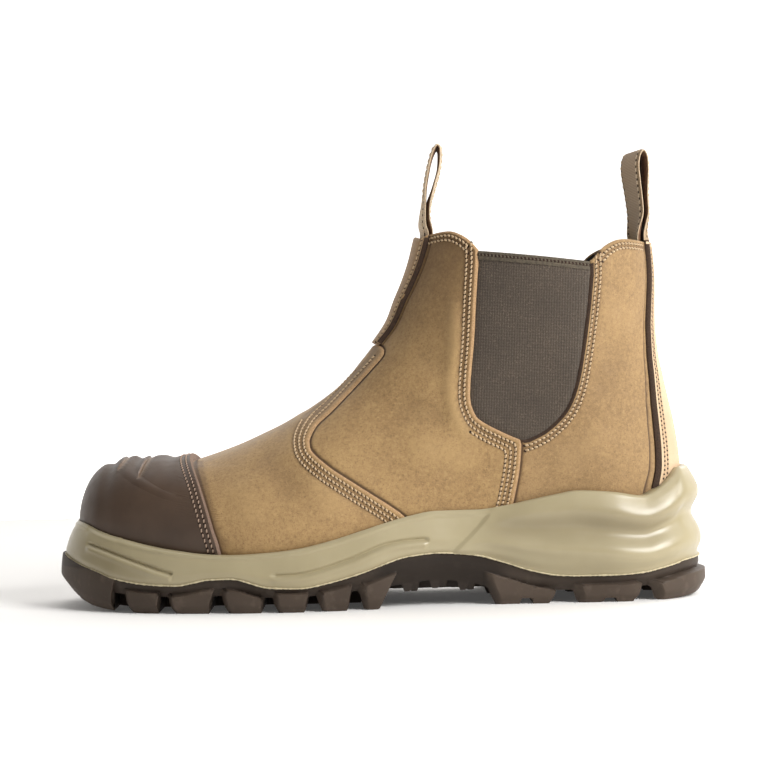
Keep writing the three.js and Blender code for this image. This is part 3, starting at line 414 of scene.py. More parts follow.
def skin(v, angle):
    place = np.clip(v, 0, 1) * (len(front_line) - 1)
    i = np.minimum(place.astype(int), len(front_line) - 2)
    t = (place - i)[:, None]
    front = front_line[i] * (1 - t) + front_line[i + 1] * t
    back_z = section_back(v)
    s = (1 - np.cos(angle)) / 2
    sag = section_sag(v) * H * np.sin(np.pi * s ** section_lean(v))
    x = front[:, 0] + (back_x(back_z) * L - front[:, 0]) * s
    z = front[:, 1] + (back_z * H - front[:, 1]) * s - sag
    side = np.where(np.sin(angle) < 0, 1.0, -1.0)
    half = half_width(x, z, front) * (np.abs(np.sin(angle)) > 1e-6)
    return np.stack([x, middle(x, z) + side * half, z], axis=1)


# Soft folds laid over the leather: middle line in the side view, width, height, and how the ends fade
def relief(points):
    x, z = points[:, 0] / MM, points[:, 2] / MM
    side = np.stack([x, z], axis=1)
    total = np.zeros(len(points))
    for way, width, height in FOLDS:
        distance, along = nearest(side, chain(way, 40))
        fade = smooth(0, 0.25, along) * (1 - smooth(0.75, 1, along))
        total += height * bell(distance, width) * fade
    return total * MM


def grid_normals(points):
    """Outward normals of the grid of the skin: rows go up, columns go round."""
    round_way = np.roll(points, -1, axis=1) - np.roll(points, 1, axis=1)
    up_way = np.empty_like(points)
    up_way[1:-1] = points[2:] - points[:-2]
    up_way[0] = points[1] - points[0]
    up_way[-1] = points[-1] - points[-2]
    normals = np.cross(round_way, up_way)
    length = np.linalg.norm(normals, axis=2, keepdims=True)
    return normals / np.maximum(length, 1e-15)


def grid_faces(rows, columns):
    """Two triangles for each cell of a grid that closes around its columns."""
    i, j = np.meshgrid(np.arange(rows - 1), np.arange(columns), indexing="ij")
    a = (i * columns + j).ravel()
    b = (i * columns + (j + 1) % columns).ravel()
    c, d = a + columns, b + columns
    return np.vstack([np.stack([a, b, d], 1), np.stack([a, d, c], 1)])


share = np.arange(COLUMNS // 2 + 1) / (COLUMNS // 2)
bent = share**1.5 / (share**1.5 + (1 - share) ** 1.5)
half_turn = np.pi * bent
angles = np.concatenate([half_turn, 2 * np.pi - half_turn[-2:0:-1]])
levels = np.linspace(0, 1, ROWS)
level_grid, angle_grid = np.meshgrid(levels, angles, indexing="ij")
base = skin(level_grid.ravel(), angle_grid.ravel())
lift = relief(base)
base = base.reshape(ROWS, COLUMNS, 3)
base = base + grid_normals(base) * lift.reshape(ROWS, COLUMNS, 1)
normals = grid_normals(base)
SKIN = np.concatenate([base.reshape(-1, 3), normals.reshape(-1, 3), lift[:, None]], axis=1)
SKIN_FACES = grid_faces(ROWS, COLUMNS)
PLAIN_SKIN = SKIN.reshape(ROWS, COLUMNS, 7)[::2, ::2].reshape(-1, 7)
PLAIN_FACES = grid_faces(ROWS // 2 + 1, COLUMNS // 2)


# Areas of the side view as signed distances: above zero inside


def inside(outline):
    outline = np.array(outline)
    closed = np.vstack([outline, outline[:1]])
    a, b = closed[:-1], closed[1:]

    def value(points):
        side = points[:, [0, 2]]
        distance, _ = nearest(side, closed)
        odd = np.zeros(len(side), bool)
        for p, q in zip(a, b):
            if p[1] != q[1]:
                spans = (p[1] > side[:, 1]) != (q[1] > side[:, 1])
                at = (q[0] - p[0]) * (side[:, 1] - p[1]) / (q[1] - p[1]) + p[0]
                odd ^= spans & (side[:, 0] < at)
        return np.where(odd, 1, -1) * np.abs(distance)

    return value


def above_bed(points):
    return points[:, 2] - footbed_z(points[:, 0] / L) * H


LOW = -0.1 * H
HIGH = 1.35 * H
gore_way = chain(line(GORE[1:-1]), 90)
gore_ring = np.vstack([[(gore_way[0][0], HIGH)], gore_way, [(gore_way[-1][0], HIGH)]])
gore_split = int(np.abs(gore_way - line([(0.212, 0.435)])).sum(1).argmin())
seam_way = chain(line(SIDE_SEAM), 30)
vamp_way = np.vstack([line(VAMP_SEAM[:1]), chain(line(VAMP_SEAM[1:-1]), 90), line(VAMP_SEAM[-1:])])
cap_way = np.vstack([line(CAP_EDGE[:1]), chain(line(CAP_EDGE[1:-1]), 40), line(CAP_EDGE[-1:])])
collar_way = np.vstack([chain(line(COLLAR[2:8]), 60), chain(line(COLLAR[8:-1]), 60)])

collar_rest = line([(0.56, 0.972), (0.56, -0.1), (-0.56, -0.1), (-0.56, 1.002)])
below_collar = inside(np.vstack([line(COLLAR[:2]), collar_way, collar_rest]))
in_gore = inside(gore_ring)
front_area = inside(
    np.vstack(
        [
            [(-0.2 * L, LOW), (-0.2 * L, HIGH), (gore_way[0][0], HIGH)],
            gore_way[: gore_split + 1],
            seam_way[1:],
        ]
    )
)
rear_area = inside(
    np.vstack(
        [
            [(0.16 * L, LOW), (0.16 * L, 0.4 * H), seam_way[0] + [-0.002, -0.002]],
            gore_way[gore_split:],
            [(gore_way[-1][0], HIGH), (0.6 * L, HIGH), (0.6 * L, LOW)],
        ]
    )
)
vamp_area = inside(np.vstack([vamp_way, cap_way[::-1] + [-0.005, 0]]))
cap_area = inside(np.vstack([cap_way, [(-0.6 * L, 0), (-0.6 * L, 0.6 * H)]]))
gore_top = line([(0.12, 0.951), (0.36, 0.9)]) - [0, GAP]
gore_below = inside(np.vstack([gore_top, line([(0.36, 0), (0.12, 0)])]))
backstay_half = curve(BACKSTAY, 0, 1)
strip_half = curve(FRONT_STRIP, 0, 1)


def backstay_area(points):
    half = backstay_half(points[:, 2] / H) * STRIP_WIDTH
    return np.minimum(half - np.abs(points[:, 1]), points[:, 0] - 0.25 * L)


def strip_area(points):
    half = strip_half(points[:, 2] / H) * STRIP_WIDTH
    return np.minimum(half - np.abs(points[:, 1]), 0.2 * L - points[:, 0])


def strip_foot(points):
    return np.minimum(points[:, 2] - 0.708 * H, -vamp_area(points) - GAP)


# Patches of leather cut from the skin


def split(data, faces, values, drop):
    values = np.where(np.abs(values) < 0.00003, 0.0, values)
    within = values >= 0
    corner = within[faces]
    count = corner.sum(1)
    mixed = (count > 0) & (count < 3)
    lone_in = count[mixed] == 1
    lone = np.where(lone_in, corner[mixed].argmax(1), (~corner[mixed]).argmax(1))
    turned = np.take_along_axis(faces[mixed], (lone[:, None] + np.arange(3)) % 3, 1)
    a, b, c = turned.T
    pairs = np.sort(np.vstack([np.stack([a, b], 1), np.stack([a, c], 1)]), axis=1)
    unique, back = np.unique(pairs, axis=0, return_inverse=True)
    back = back.ravel()
    t = values[unique[:, 0]] / (values[unique[:, 0]] - values[unique[:, 1]])
    fresh = data[unique[:, 0]] * (1 - t)[:, None] + data[unique[:, 1]] * t[:, None]
    ab = len(data) + back[: len(a)]
    ac = len(data) + back[len(a) :]
    tips = np.stack([a, ab, ac], 1)
    rests = np.vstack([np.stack([ab, b, c], 1), np.stack([ab, c, ac], 1)])
    rest_in = np.concatenate([~lone_in, ~lone_in])
    kept = [faces[count == 3], tips[lone_in], rests[rest_in]]
    if not drop:
        kept += [faces[count == 0], tips[~lone_in], rests[~rest_in]]
    return compact(np.vstack([data, fresh]), np.vstack(kept))


def compact(data, faces):
    """Joins points that coincide, and leaves out collapsed faces and unused points."""
    used, back = np.unique(faces, return_inverse=True)
    data = data[used]
    faces = back.reshape(-1, 3)
    _, first, back = np.unique(np.round(data[:, :3] / 2e-7), axis=0, return_index=True, return_inverse=True)
    faces = back.ravel()[faces]
    data = data[first]
    sound = (faces[:, 0] != faces[:, 1]) & (faces[:, 1] != faces[:, 2]) & (faces[:, 2] != faces[:, 0])
    return data, faces[sound]


def make(name, points, faces, slots, materials, sharp=38, values=None):
    mesh = bpy.data.meshes.new(name)
    mesh.from_pydata(points.tolist(), [], faces if isinstance(faces, list) else faces.tolist())
    for material in materials:
        mesh.materials.append(material)
    if slots is not None:
        mesh.polygons.foreach_set("material_index", np.asarray(slots, np.int32))
    mesh.polygons.foreach_set("use_smooth", np.ones(len(mesh.polygons), bool))
    mesh.set_sharp_from_angle(angle=math.radians(sharp))
    for key, numbers in (values or {}).items():
        layer = mesh.attributes.new(key, "FLOAT", "POINT")
        layer.data.foreach_set("value", np.asarray(numbers, np.float32))
    mesh.update()
    piece = bpy.data.objects.new(name, mesh)
    bpy.context.scene.collection.objects.link(piece)
    return piece


def finish_piece(piece, nodes=()):
    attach(piece, "root")
    if nodes:
        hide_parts(*nodes)
    return piece


def open_edges(faces):
    """The edges that only one face has."""
    edges = np.vstack([faces[:, [0, 1]], faces[:, [1, 2]], faces[:, [2, 0]]])
    _, where, often = np.unique(np.sort(edges, axis=1), axis=0, return_index=True, return_counts=True)
    return edges[where[often == 1]]


def patch(
    name, outer, inner, cuts, rims, materials, seams=(), creases=(), shadows=(), tint=None, plain_grid=False
):
    """A closed sheet of the skin between two offsets. cuts only trim it. rims are (area, width, depth, slot):
    they trim it too and round its edge over. seams are (area, from, to): where rows of stitches press it in.
    creases are lines that edges of the mesh follow. shadows are areas of pieces that lie on top: a soft
    groove and a painted shadow follow their edge. tint gives how strongly a painted highlight lightens the
    surface at its points.
    plain_grid takes every second row and column of the skin."""
    data, faces = (PLAIN_SKIN, PLAIN_FACES) if plain_grid else (SKIN, SKIN_FACES)
    thick = outer if callable(outer) else lambda p: np.full(len(p), outer)

    def surface(rows):
        return rows[:, :3] + rows[:, 3:6] * thick(rows[:, :3])[:, None]

    for area in [*cuts, *[rim[0] for rim in rims]]:
        data, faces = split(data, faces, area(surface(data)), True)
    for area, width, depth, slot in rims:
        data, faces = split(data, faces, area(surface(data)) - width, False)
        data, faces = split(data, faces, area(surface(data)) - 0.4 * width, False)
    for crease in creases:
        data, faces = split(data, faces, crease(data[:, :3]), False)
    for area in shadows:
        for edge in (0.0, 0.0007, 0.0015):
            data, faces = split(data, faces, area(surface(data)) + edge, False)
    data[:, 3:6] = unit(data[:, 3:6])
    top = surface(data)
    grow = thick(data[:, :3])
    edge_slots = np.zeros(len(faces), int)
    nearest_rim = np.full(len(data), np.inf)
    rim_slot = np.zeros(len(data), int)
    drop = np.zeros(len(data))
    for area, width, depth, slot in rims:
        value = area(top)
        drop = np.maximum(drop, depth * np.clip(1 - value / width, 0, 1) ** 2)
        edge_slots[(value[faces] <= width * 1.02).all(1)] = slot
        rim_slot = np.where(value < nearest_rim, slot, rim_slot)
        nearest_rim = np.minimum(nearest_rim, value)
    press_and_shadow = np.zeros(len(data))
    for area, start, end in seams:
        value = area(top)
        into = smooth(start - SEAM_SOFTNESS, start, value)
        press_and_shadow = np.maximum(press_and_shadow, into * (1 - smooth(end, end + SEAM_SOFTNESS, value)))
    # Painted shadow: beside each piece on top, a shallow groove and a dark line that the leather shaders
    # darken
    for area in shadows:
        value = area(top)
        line_shade = smooth(-0.0016, -0.0007, value) * (1 - smooth(0.0008, 0.0016, value))
        drop = np.maximum(drop, STEP_DEPTH * line_shade)
        press_and_shadow = np.maximum(press_and_shadow, 1.6 * line_shade)
    grow = grow - drop - np.minimum(press_and_shadow, 1) * SEAM_DEPTH
    outer_points = data[:, :3] + data[:, 3:6] * grow[:, None]
    inner_points = data[:, :3] + data[:, 3:6] * inner
    count = len(data)
    u, v = open_edges(faces).T
    wall = np.vstack([np.stack([v, u, u + count], 1), np.stack([v, u + count, v + count], 1)])
    wall_slots = np.where(np.minimum(nearest_rim[u], nearest_rim[v]) < 0.0001, rim_slot[u], 0)
    all_faces = np.vstack([faces, faces[:, ::-1] + count, wall])
    slots = np.concatenate([edge_slots, np.zeros(len(faces), int), wall_slots, wall_slots])
    values = {
        "relief": np.concatenate([data[:, 6], data[:, 6]]) / MM,
        "seam_and_shadow": np.concatenate([press_and_shadow, press_and_shadow]),
        "tint": np.tile(tint(data[:, :3]) if tint else np.zeros(count), 2),
    }
    piece = make(name, np.vstack([outer_points, inner_points]), all_faces, slots, materials, 40, values)
    return piece, {"points": outer_points, "normals": data[:, 3:6], "faces": faces}


def contour(sheet, area, distance, keep, key):
    """Points of the sheet at a distance in from an edge, in order."""
    values = area(sheet["points"]) - distance
    faces = sheet["faces"]
    edges = np.unique(np.sort(np.vstack([faces[:, [0, 1]], faces[:, [1, 2]]]), axis=1), axis=0)
    crossing = edges[(values[edges[:, 0]] < 0) != (values[edges[:, 1]] < 0)]
    t = values[crossing[:, 0]] / (values[crossing[:, 0]] - values[crossing[:, 1]])
    t = t[:, None]
    one, two = crossing.T
    points = sheet["points"][one] * (1 - t) + sheet["points"][two] * t
    directions = sheet["normals"][one] * (1 - t) + sheet["normals"][two] * t
    chosen = keep(points)
    points, directions = points[chosen], directions[chosen]
    order = np.argsort(key(points))
    return points[order], unit(directions[order])


# Rows of stitches


def tubes(centres, ups, radii, sides=6):
    """Closed tubes: centres and ups are (tubes, stations, 3)."""
    count, stations = centres.shape[:2]
    run = unit(np.gradient(centres, axis=1))
    across = unit(np.cross(run, ups))
    up = np.cross(across, run)
    turn = np.arange(sides) * 2 * np.pi / sides
    ring = np.cos(turn)[:, None] * across[:, :, None] + np.sin(turn)[:, None] * up[:, :, None]
    points = centres[:, :, None] + ring * radii[None, :, None, None]
    faces = []
    for s in range(stations - 1):
        for k in range(sides):
            m = (k + 1) % sides
            faces.append((s * sides + k, s * sides + m, (s + 1) * sides + m, (s + 1) * sides + k))
    faces = np.array(faces)
    start = np.array([list(range(sides))])[:, ::-1]
    end = np.array([list(range((stations - 1) * sides, stations * sides))])
    steps = np.arange(count)[:, None, None] * stations * sides
    quads = (faces[None] + steps).reshape(-1, 4).tolist()
    caps = (np.vstack([start, end])[None] + steps).reshape(-1, sides).tolist()
    return points.reshape(-1, 3), quads + caps


threads = []
cap_threads = []
loop_threads = []
gore_threads = []
holes = []


def sew(points, normals, pitch=0.0021, length=0.0016, thread=0.00047, lean=0.00025, kind=None):
    """A row of stitches along points on a surface."""
    if len(points) < 4:
        return
    gone = run_length(points)
    even = np.linspace(0, gone[-1], max(8, int(gone[-1] / 0.0008)))
    path = sample(points, gone, even)
    ups = sample(normals, gone, even)
    kernel = np.ones(5) / 5
    for k in range(3):
        path[2:-2, k] = np.convolve(path[:, k], kernel, "valid")
    gone = run_length(path)
    count = int(gone[-1] / pitch)
    if count < 1:
        return
    middle_at = (np.arange(count) + 0.5) * gone[-1] / count
    offsets = np.array([-0.5, -0.3, 0, 0.3, 0.5]) * length
    at = middle_at[:, None] + offsets
    centre = sample(path, gone, at)
    up = unit(sample(ups, gone, at))
    across = np.cross(unit(np.gradient(centre, axis=1)), up)
    height = np.array([-0.0003, 0.0001, 0.0002, 0.0001, -0.0003])
    slant = np.array([-1, -0.6, 0, 0.6, 1]) * lean
    centre = centre + up * height[:, None] + across * slant[:, None]
    radii = np.array([0.7, 1, 1.05, 1, 0.7]) * thread
    (threads if kind is None else kind).append(tubes(centre, up, radii))
    # Dark plugs at both ends of each stitch: painted shade of the stitch holes
    ends = (np.arange(count + 1) * gone[-1] / count)[:, None]
    spot = sample(path, gone, ends)
    up = unit(sample(ups, gone, ends))
    spot = np.concatenate([spot - up * 0.0003, spot + up * 0.00006], axis=1)
    holes.append(tubes_upright(spot, np.concatenate([up, up], axis=1), np.array([0.00078, 0.00066])))


def tubes_upright(centres, ups, radii, sides=8):
    """Short closed plugs that stand along their own line."""
    count = len(centres)
    run = ups[:, 0]
    other = np.where(np.abs(run[:, [2]]) < 0.9, [[0, 0, 1.0]], [[1.0, 0, 0]])
    across = unit(np.cross(run, other))
    up = np.cross(across, run)
    turn = np.arange(sides) * 2 * np.pi / sides
    ring = np.cos(turn)[None, :, None] * across[:, None] + np.sin(turn)[None, :, None] * up[:, None]
    points = centres[:, :, None] + ring[:, None] * radii[None, :, None, None]
    faces = [(k, (k + 1) % sides, sides + (k + 1) % sides, sides + k) for k in range(sides)]
    steps = np.arange(count)[:, None, None] * 2 * sides
    quads = (np.array(faces)[None, :, ::-1] + steps).reshape(-1, 4).tolist()
    start = list(range(sides))
    end = list(range(2 * sides - 1, sides - 1, -1))
    caps = (np.array([start, end])[None] + steps).reshape(-1, sides).tolist()
    return points.reshape(-1, 3), quads + caps


def gather(name, groups, material):
    points, faces, first = [], [], 0
    for spots, loops in groups:
        points.append(spots)
        faces += [[k + first for k in loop] for loop in loops]
        first += len(spots)
    return finish_piece(make(name, np.vstack(points), faces, None, [material], 60))


# Materials


def tone(red, green, blue):
    """A colour from 0 to 255 as the linear values that shaders take."""
    shares = [value / 255 for value in (red, green, blue)]
    return tuple(v / 12.92 if v < 0.04045 else ((v + 0.055) / 1.055) ** 2.4 for v in shares) + (1,)


class Shader:
    def __init__(self, name, roughness, **constants):
        self.material = bpy.data.materials.new(name)
        self.material.use_nodes = True
        self.nodes = self.material.node_tree.nodes
        self.links = self.material.node_tree.links
        self.body = self.nodes["Principled BSDF"]
        self.body.inputs["Roughness"].default_value = roughness
        for key, value in constants.items():
            self.body.inputs[key.replace("_", " ")].default_value = value
        self.where = self.nodes.new("ShaderNodeTexCoord").outputs["Object"]

    def put(self, socket, value):
        if isinstance(value, (int, float, tuple)):
            socket.default_value = value
        else:
            self.links.new(value, socket)

    def noise(self, scale, detail=3.0, rough=0.55):
        node = self.nodes.new("ShaderNodeTexNoise")
        node.inputs["Scale"].default_value = scale
        node.inputs["Detail"].default_value = detail
        node.inputs["Roughness"].default_value = rough
        self.links.new(self.where, node.inputs["Vector"])
        return node.outputs["Fac"]

    def wave(self, scale, axis, distortion=0.0):
        node = self.nodes.new("ShaderNodeTexWave")
        node.bands_direction = axis
        node.inputs["Scale"].default_value = scale
        node.inputs["Distortion"].default_value = distortion
        node.inputs["Detail"].default_value = 2
        node.inputs["Detail Scale"].default_value = 4
        self.links.new(self.where, node.inputs["Vector"])
        return node.outputs["Fac"]

    def ramp(self, value, low, high, start=0.0, end=1.0):
        node = self.nodes.new("ShaderNodeMapRange")
        node.inputs["From Min"].default_value = low
        node.inputs["From Max"].default_value = high
        node.inputs["To Min"].default_value = start
        node.inputs["To Max"].default_value = end
        self.links.new(value, node.inputs["Value"])
        return node.outputs["Result"]

    def product(self, one, two):
        node = self.nodes.new("ShaderNodeMath")
        node.operation = "MULTIPLY"
        self.links.new(one, node.inputs[0])
        self.links.new(two, node.inputs[1])
        return node.outputs[0]

    def mix(self, share, one, two):
        node = self.nodes.new("ShaderNodeMix")
        node.data_type = "RGBA"
        self.put(node.inputs["Factor"], share)
        self.put(node.inputs[6], one)
        self.put(node.inputs[7], two)
        return node.outputs[2]

    def attribute(self, name):
        node = self.nodes.new("ShaderNodeAttribute")
        node.attribute_name = name
        return node.outputs["Fac"]

    def height(self, axis):
        node = self.nodes.new("ShaderNodeSeparateXYZ")
        self.links.new(self.where, node.inputs[0])
        return node.outputs[axis]

    def colour(self, value):
        self.put(self.body.inputs["Base Color"], value)

    def rough(self, value):
        self.put(self.body.inputs["Roughness"], value)

    def bump(self, layers):
        """Layers of (height, strength, depth in metres), the broadest first."""
        last = None
        for value, strength, depth in layers:
            node = self.nodes.new("ShaderNodeBump")
            node.inputs["Strength"].default_value = strength
            node.inputs["Distance"].default_value = depth
            self.links.new(value, node.inputs["Height"])
            if last is not None:
                self.links.new(last, node.inputs["Normal"])
            last = node.outputs["Normal"]
        self.links.new(last, self.body.inputs["Normal"])


def nubuck(name, dark, middle_tone, light, speck, painted_top_shade=0.0):
    """Oiled nubuck: cloudy tone, fine dark pores, a soft nap, paler on raised folds where it is rubbed,
    painted shade in the fold hollows, darker along rows of stitches, and a painted shadow beside pieces that
    lie on top. The last
    argument is painted shade: how much darker it is towards the top of the shaft."""
    s = Shader(name, 0.78, Sheen_Weight=0.18, Sheen_Roughness=0.45)
    cloud = s.noise(28, 5, 0.6)
    small = s.noise(190, 4, 0.6)
    pores = s.noise(1500, 2, 0.6)
    nap = s.noise(3800, 2, 0.7)
    mottle = s.noise(620, 4, 0.7)
    base_tone = s.mix(s.ramp(cloud, 0.36, 0.66), dark, middle_tone)
    base_tone = s.mix(s.ramp(small, 0.45, 0.72, 0, 0.45), base_tone, light)
    base_tone = s.mix(s.ramp(mottle, 0.52, 0.68, 0, 0.55), base_tone, light)
    base_tone = s.mix(s.ramp(mottle, 0.48, 0.34, 0, 0.40), base_tone, speck)
    base_tone = s.mix(s.ramp(pores, 0.58, 0.70, 0, 0.60), base_tone, speck)
    base_tone = s.mix(s.ramp(nap, 0.38, 0.62, 0, 0.30), base_tone, light)
    # Raised folds paler, as rubbed wear; fold hollows darker, which is painted shade
    worn = s.attribute("relief")
    base_tone = s.mix(s.ramp(worn, 0.1, 0.9, 0, 0.55), base_tone, light)
    base_tone = s.mix(s.ramp(worn, -0.1, -0.9, 0, 0.35), base_tone, speck)
    # Darker along rows of stitches; above 1 the attribute is the painted shadow beside pieces on top, a
    # near-black brown
    base_tone = s.mix(s.ramp(s.attribute("seam_and_shadow"), 0.2, 1.0, 0, 0.45), base_tone, speck)
    base_tone = s.mix(s.ramp(s.attribute("seam_and_shadow"), 1.0, 1.6, 0, 0.75), base_tone, tone(66, 44, 26))
    # Painted shade: darker towards the top of the shaft
    if painted_top_shade:
        base_tone = s.mix(s.ramp(s.height("Z"), 0.105, 0.165, 0, painted_top_shade), base_tone, speck)
    s.colour(base_tone)
    s.rough(s.ramp(small, 0.3, 0.7, 0.72, 0.86))
    s.bump([(small, 0.25, 0.0006), (pores, 0.30, 0.00025), (nap, 0.30, 0.00012)])
    return s.material


def smooth_leather(name, one, two, speck):
    s = Shader(name, 0.62, Sheen_Weight=0.08)
    cloud = s.noise(35, 4)
    grain = s.noise(1300, 3)
    fine = s.noise(3600, 2)
    base_tone = s.mix(s.ramp(cloud, 0.35, 0.65), one, two)
    base_tone = s.mix(s.ramp(grain, 0.58, 0.78, 0, 0.3), base_tone, speck)
    base_tone = s.mix(s.ramp(s.attribute("seam_and_shadow"), 0.2, 1.0, 0, 0.3), base_tone, speck)
    s.colour(base_tone)
    s.rough(s.ramp(grain, 0.3, 0.7, 0.56, 0.7))
    s.bump([(grain, 0.2, 0.0002), (fine, 0.2, 0.0001)])
    return s.material


def cut_edge(name, one, two, depth=0.0004):
    """The cut edge of leather: short fibres, a little ragged."""
    s = Shader(name, 0.9)
    fibre = s.noise(1400, 4, 0.7)
    s.colour(s.mix(s.ramp(fibre, 0.35, 0.65), one, two))
    s.bump([(fibre, 0.5, depth)])
    return s.material


def moulded(
    name, one, two, roughness, coat, coat_rough, grain_scale, grain_depth, shine, painted_shading, worn=None
):
    """Moulded rubber or foam. The tint attribute mixes in its painted tone: painted shade in grooves and
    hollows, and on the toe guard a painted highlight. worn, if any, is its tone where it is rubbed.
    """
    s = Shader(name, roughness, Coat_Weight=coat, Coat_Roughness=coat_rough, Specular_IOR_Level=shine)
    cloud = s.noise(22, 4)
    grain = s.noise(grain_scale, 3)
    haze = s.noise(160, 4)
    base_tone = s.mix(s.ramp(cloud, 0.35, 0.65), one, two)
    if worn:
        base_tone = s.mix(s.ramp(haze, 0.55, 0.8, 0, 0.5), base_tone, worn)
    base_tone = s.mix(s.ramp(s.attribute("tint"), 0.0, 1.0, 0, 0.8), base_tone, painted_shading)
    s.colour(base_tone)
    s.rough(s.ramp(haze, 0.3, 0.7, roughness - 0.05, roughness + 0.08))
    s.bump([(haze, 0.12, 0.0004), (grain, 0.2, grain_depth)])
    return s.material


def woven(name, ground, light, rib):
    """Elastic webbing: fine vertical cords crossed by the weft, flecked with paler yarn."""
    s = Shader(name, 0.88, Sheen_Weight=0.25)
    cords = s.wave(rib, "X", 1.2)
    weft = s.wave(rib * 1.1, "Z", 1.5)
    fleck = s.noise(1900, 2, 0.6)
    broad = s.noise(60, 3)
    weave = s.product(cords, weft)
    base_tone = s.mix(s.ramp(weave, 0.0, 0.8, 0, 0.6), ground, light)
    base_tone = s.mix(s.ramp(fleck, 0.52, 0.72, 0, 0.75), base_tone, light)
    base_tone = s.mix(s.ramp(broad, 0.35, 0.65, 0, 0.3), base_tone, ground)
    s.colour(base_tone)
    s.bump([(cords, 0.5, 0.0003), (weft, 0.4, 0.0002), (fleck, 0.3, 0.0002)])
    return s.material


def webbing(name, one, two):
    s = Shader(name, 0.85, Sheen_Weight=0.15)
    yarn = s.wave(420, "Z", 1.0)
    cross = s.wave(420, "Y", 1.0)
    fleck = s.noise(1500, 3)
    s.colour(s.mix(s.ramp(s.product(yarn, fleck), 0.1, 0.5), one, two))
    s.bump([(yarn, 0.4, 0.0002), (cross, 0.4, 0.0002)])
    return s.material


def plain(name, one, two, roughness, scale=900, depth=0.0002):
    s = Shader(name, roughness)
    grain = s.noise(scale, 3)
    s.colour(s.mix(s.ramp(grain, 0.35, 0.65), one, two))
    s.bump([(grain, 0.3, depth)])
    return s.material


# The front quarters' nubuck ends with painted shade: 0.55 darkens it towards the top of the shaft
front_leather = nubuck(
    "nubuck_front", tone(138, 107, 67), tone(158, 126, 81), tone(178, 147, 99), tone(92, 67, 42), 0.55
)
# A little darker than the front's and the vamp's nubuck: painted shade that tones down the stronger lamp
# light on the rear
rear_leather = nubuck(
    "nubuck_rear", tone(136, 107, 69), tone(152, 122, 81), tone(173, 142, 98), tone(96, 71, 45)
)
vamp_leather = nubuck(
    "nubuck_vamp", tone(144, 113, 72), tone(162, 130, 85), tone(182, 150, 102), tone(98, 72, 46)
)
strip_leather = nubuck(
    "nubuck_strip", tone(142, 110, 72), tone(158, 125, 84), tone(176, 143, 100), tone(100, 73, 45)
)
heel_leather = smooth_leather(
    "leather_backstay", tone(198, 170, 136), tone(210, 182, 148), tone(160, 130, 98)
)
raw_edge = cut_edge("raw_edge", tone(148, 116, 80), tone(184, 150, 110))
cap_edge = cut_edge("cap_edge", tone(104, 83, 69), tone(130, 107, 91), 0.0002)
# On the rear quarters' edge along the gore this dark tone is painted shade; the strip and backstay take it as
# their dark edge
dark_edge = cut_edge("dark_edge", tone(42, 28, 18), tone(66, 46, 29), 0.0002)
lining_cloth = plain("lining", tone(30, 26, 24), tone(46, 41, 38), 0.9)
guard = moulded(
    "toe_guard",
    tone(68, 53, 42),
    tone(84, 67, 54),
    roughness=0.46,
    coat=0.06,
    coat_rough=0.35,
    grain_scale=900,
    grain_depth=0.00006,
    shine=0.35,
    # Painted highlight: the lighter tone on the claws' ramps, mixed in where tint is high
    painted_shading=tone(142, 117, 92),
)
foam = moulded(
    "midsole_foam",
    tone(158, 146, 114),
    tone(168, 156, 124),
    roughness=0.35,
    coat=0.2,
    coat_rough=0.2,
    grain_scale=700,
    grain_depth=0.00004,
    shine=0.5,
    # Painted shade: the darker tone in the midsole's grooves and hollows
    painted_shading=tone(100, 86, 60),
)
rubber = moulded(
    "tread_rubber",
    tone(68, 57, 48),
    tone(82, 70, 60),
    roughness=0.55,
    coat=0.03,
    coat_rough=0.4,
    grain_scale=800,
    grain_depth=0.0001,
    shine=0.22,
    # Painted shade: near-black tone between the bars and under the arch
    painted_shading=tone(18, 12, 8),
    worn=tone(110, 97, 86),
)
elastic = woven("elastic", tone(52, 43, 35), tone(116, 101, 84), 420)
binding = plain("gore_binding", tone(70, 62, 50), tone(92, 82, 67), 0.85)
strap_out = webbing("strap_back", tone(146, 121, 92), tone(174, 148, 115))
strap_front = webbing("strap_front", tone(196, 174, 146), tone(222, 202, 174))
strap_edge = plain("strap_edge", tone(182, 158, 126), tone(216, 194, 162), 0.85, 1600)
strap_in = plain("strap_lining", tone(98, 70, 50), tone(126, 94, 68), 0.9)
thread = plain("thread", tone(168, 140, 106), tone(204, 178, 142), 0.7, 2500)
cap_thread = plain("cap_thread", tone(136, 113, 95), tone(166, 142, 122), 0.7, 2500)
loop_thread = plain("loop_thread", tone(196, 172, 140), tone(226, 206, 176), 0.7, 2500)
gore_thread = plain("gore_thread", tone(82, 73, 60), tone(112, 101, 84), 0.8, 2500)
# Painted shade of the stitch holes
hole = plain("stitch_hole", tone(36, 22, 14), tone(54, 35, 23), 0.95)
bed_cloth = plain("footbed", tone(48, 43, 40), tone(66, 60, 55), 0.92, 1200)


# The upper


crown_lift = curve([(-0.48, 0), (-0.43, 0.007), (-0.28, 0.010)], 0, 1)


def claw_ramps(points):
    """For each claw: its depth, how far behind its crease the points are, its taper and its ramp there."""
    side = points[:, [0, 2]] / MM
    for way, width, depth in CLAWS:
        distance, along = nearest(side, chain(way, 24))
        behind = -distance
        taper = np.sqrt(np.clip(1 - along, 0, 1)) * (np.abs(distance) < 12)
        ramp = np.clip(1 - behind / (width * np.maximum(taper, 0.15)), 0, 1)
        yield depth, behind, taper, ramp


def hump(points):
    """How far out the toe guard stands from the skin: its crown, its humps and its claws."""
    x, y, z = points.T
    aside = y - middle(x, z)
    crown = crown_lift(x / L)
    lift = CAP_THICKNESS + H * (crown * bell(aside, 0.036) + (hump_lift(x / L) - crown) * bell(aside, 0.021))
    for depth, behind, taper, ramp in claw_ramps(points):
        lift = lift - MM * depth * taper * smooth(-0.5, 0.0, behind) * ramp
    return lift


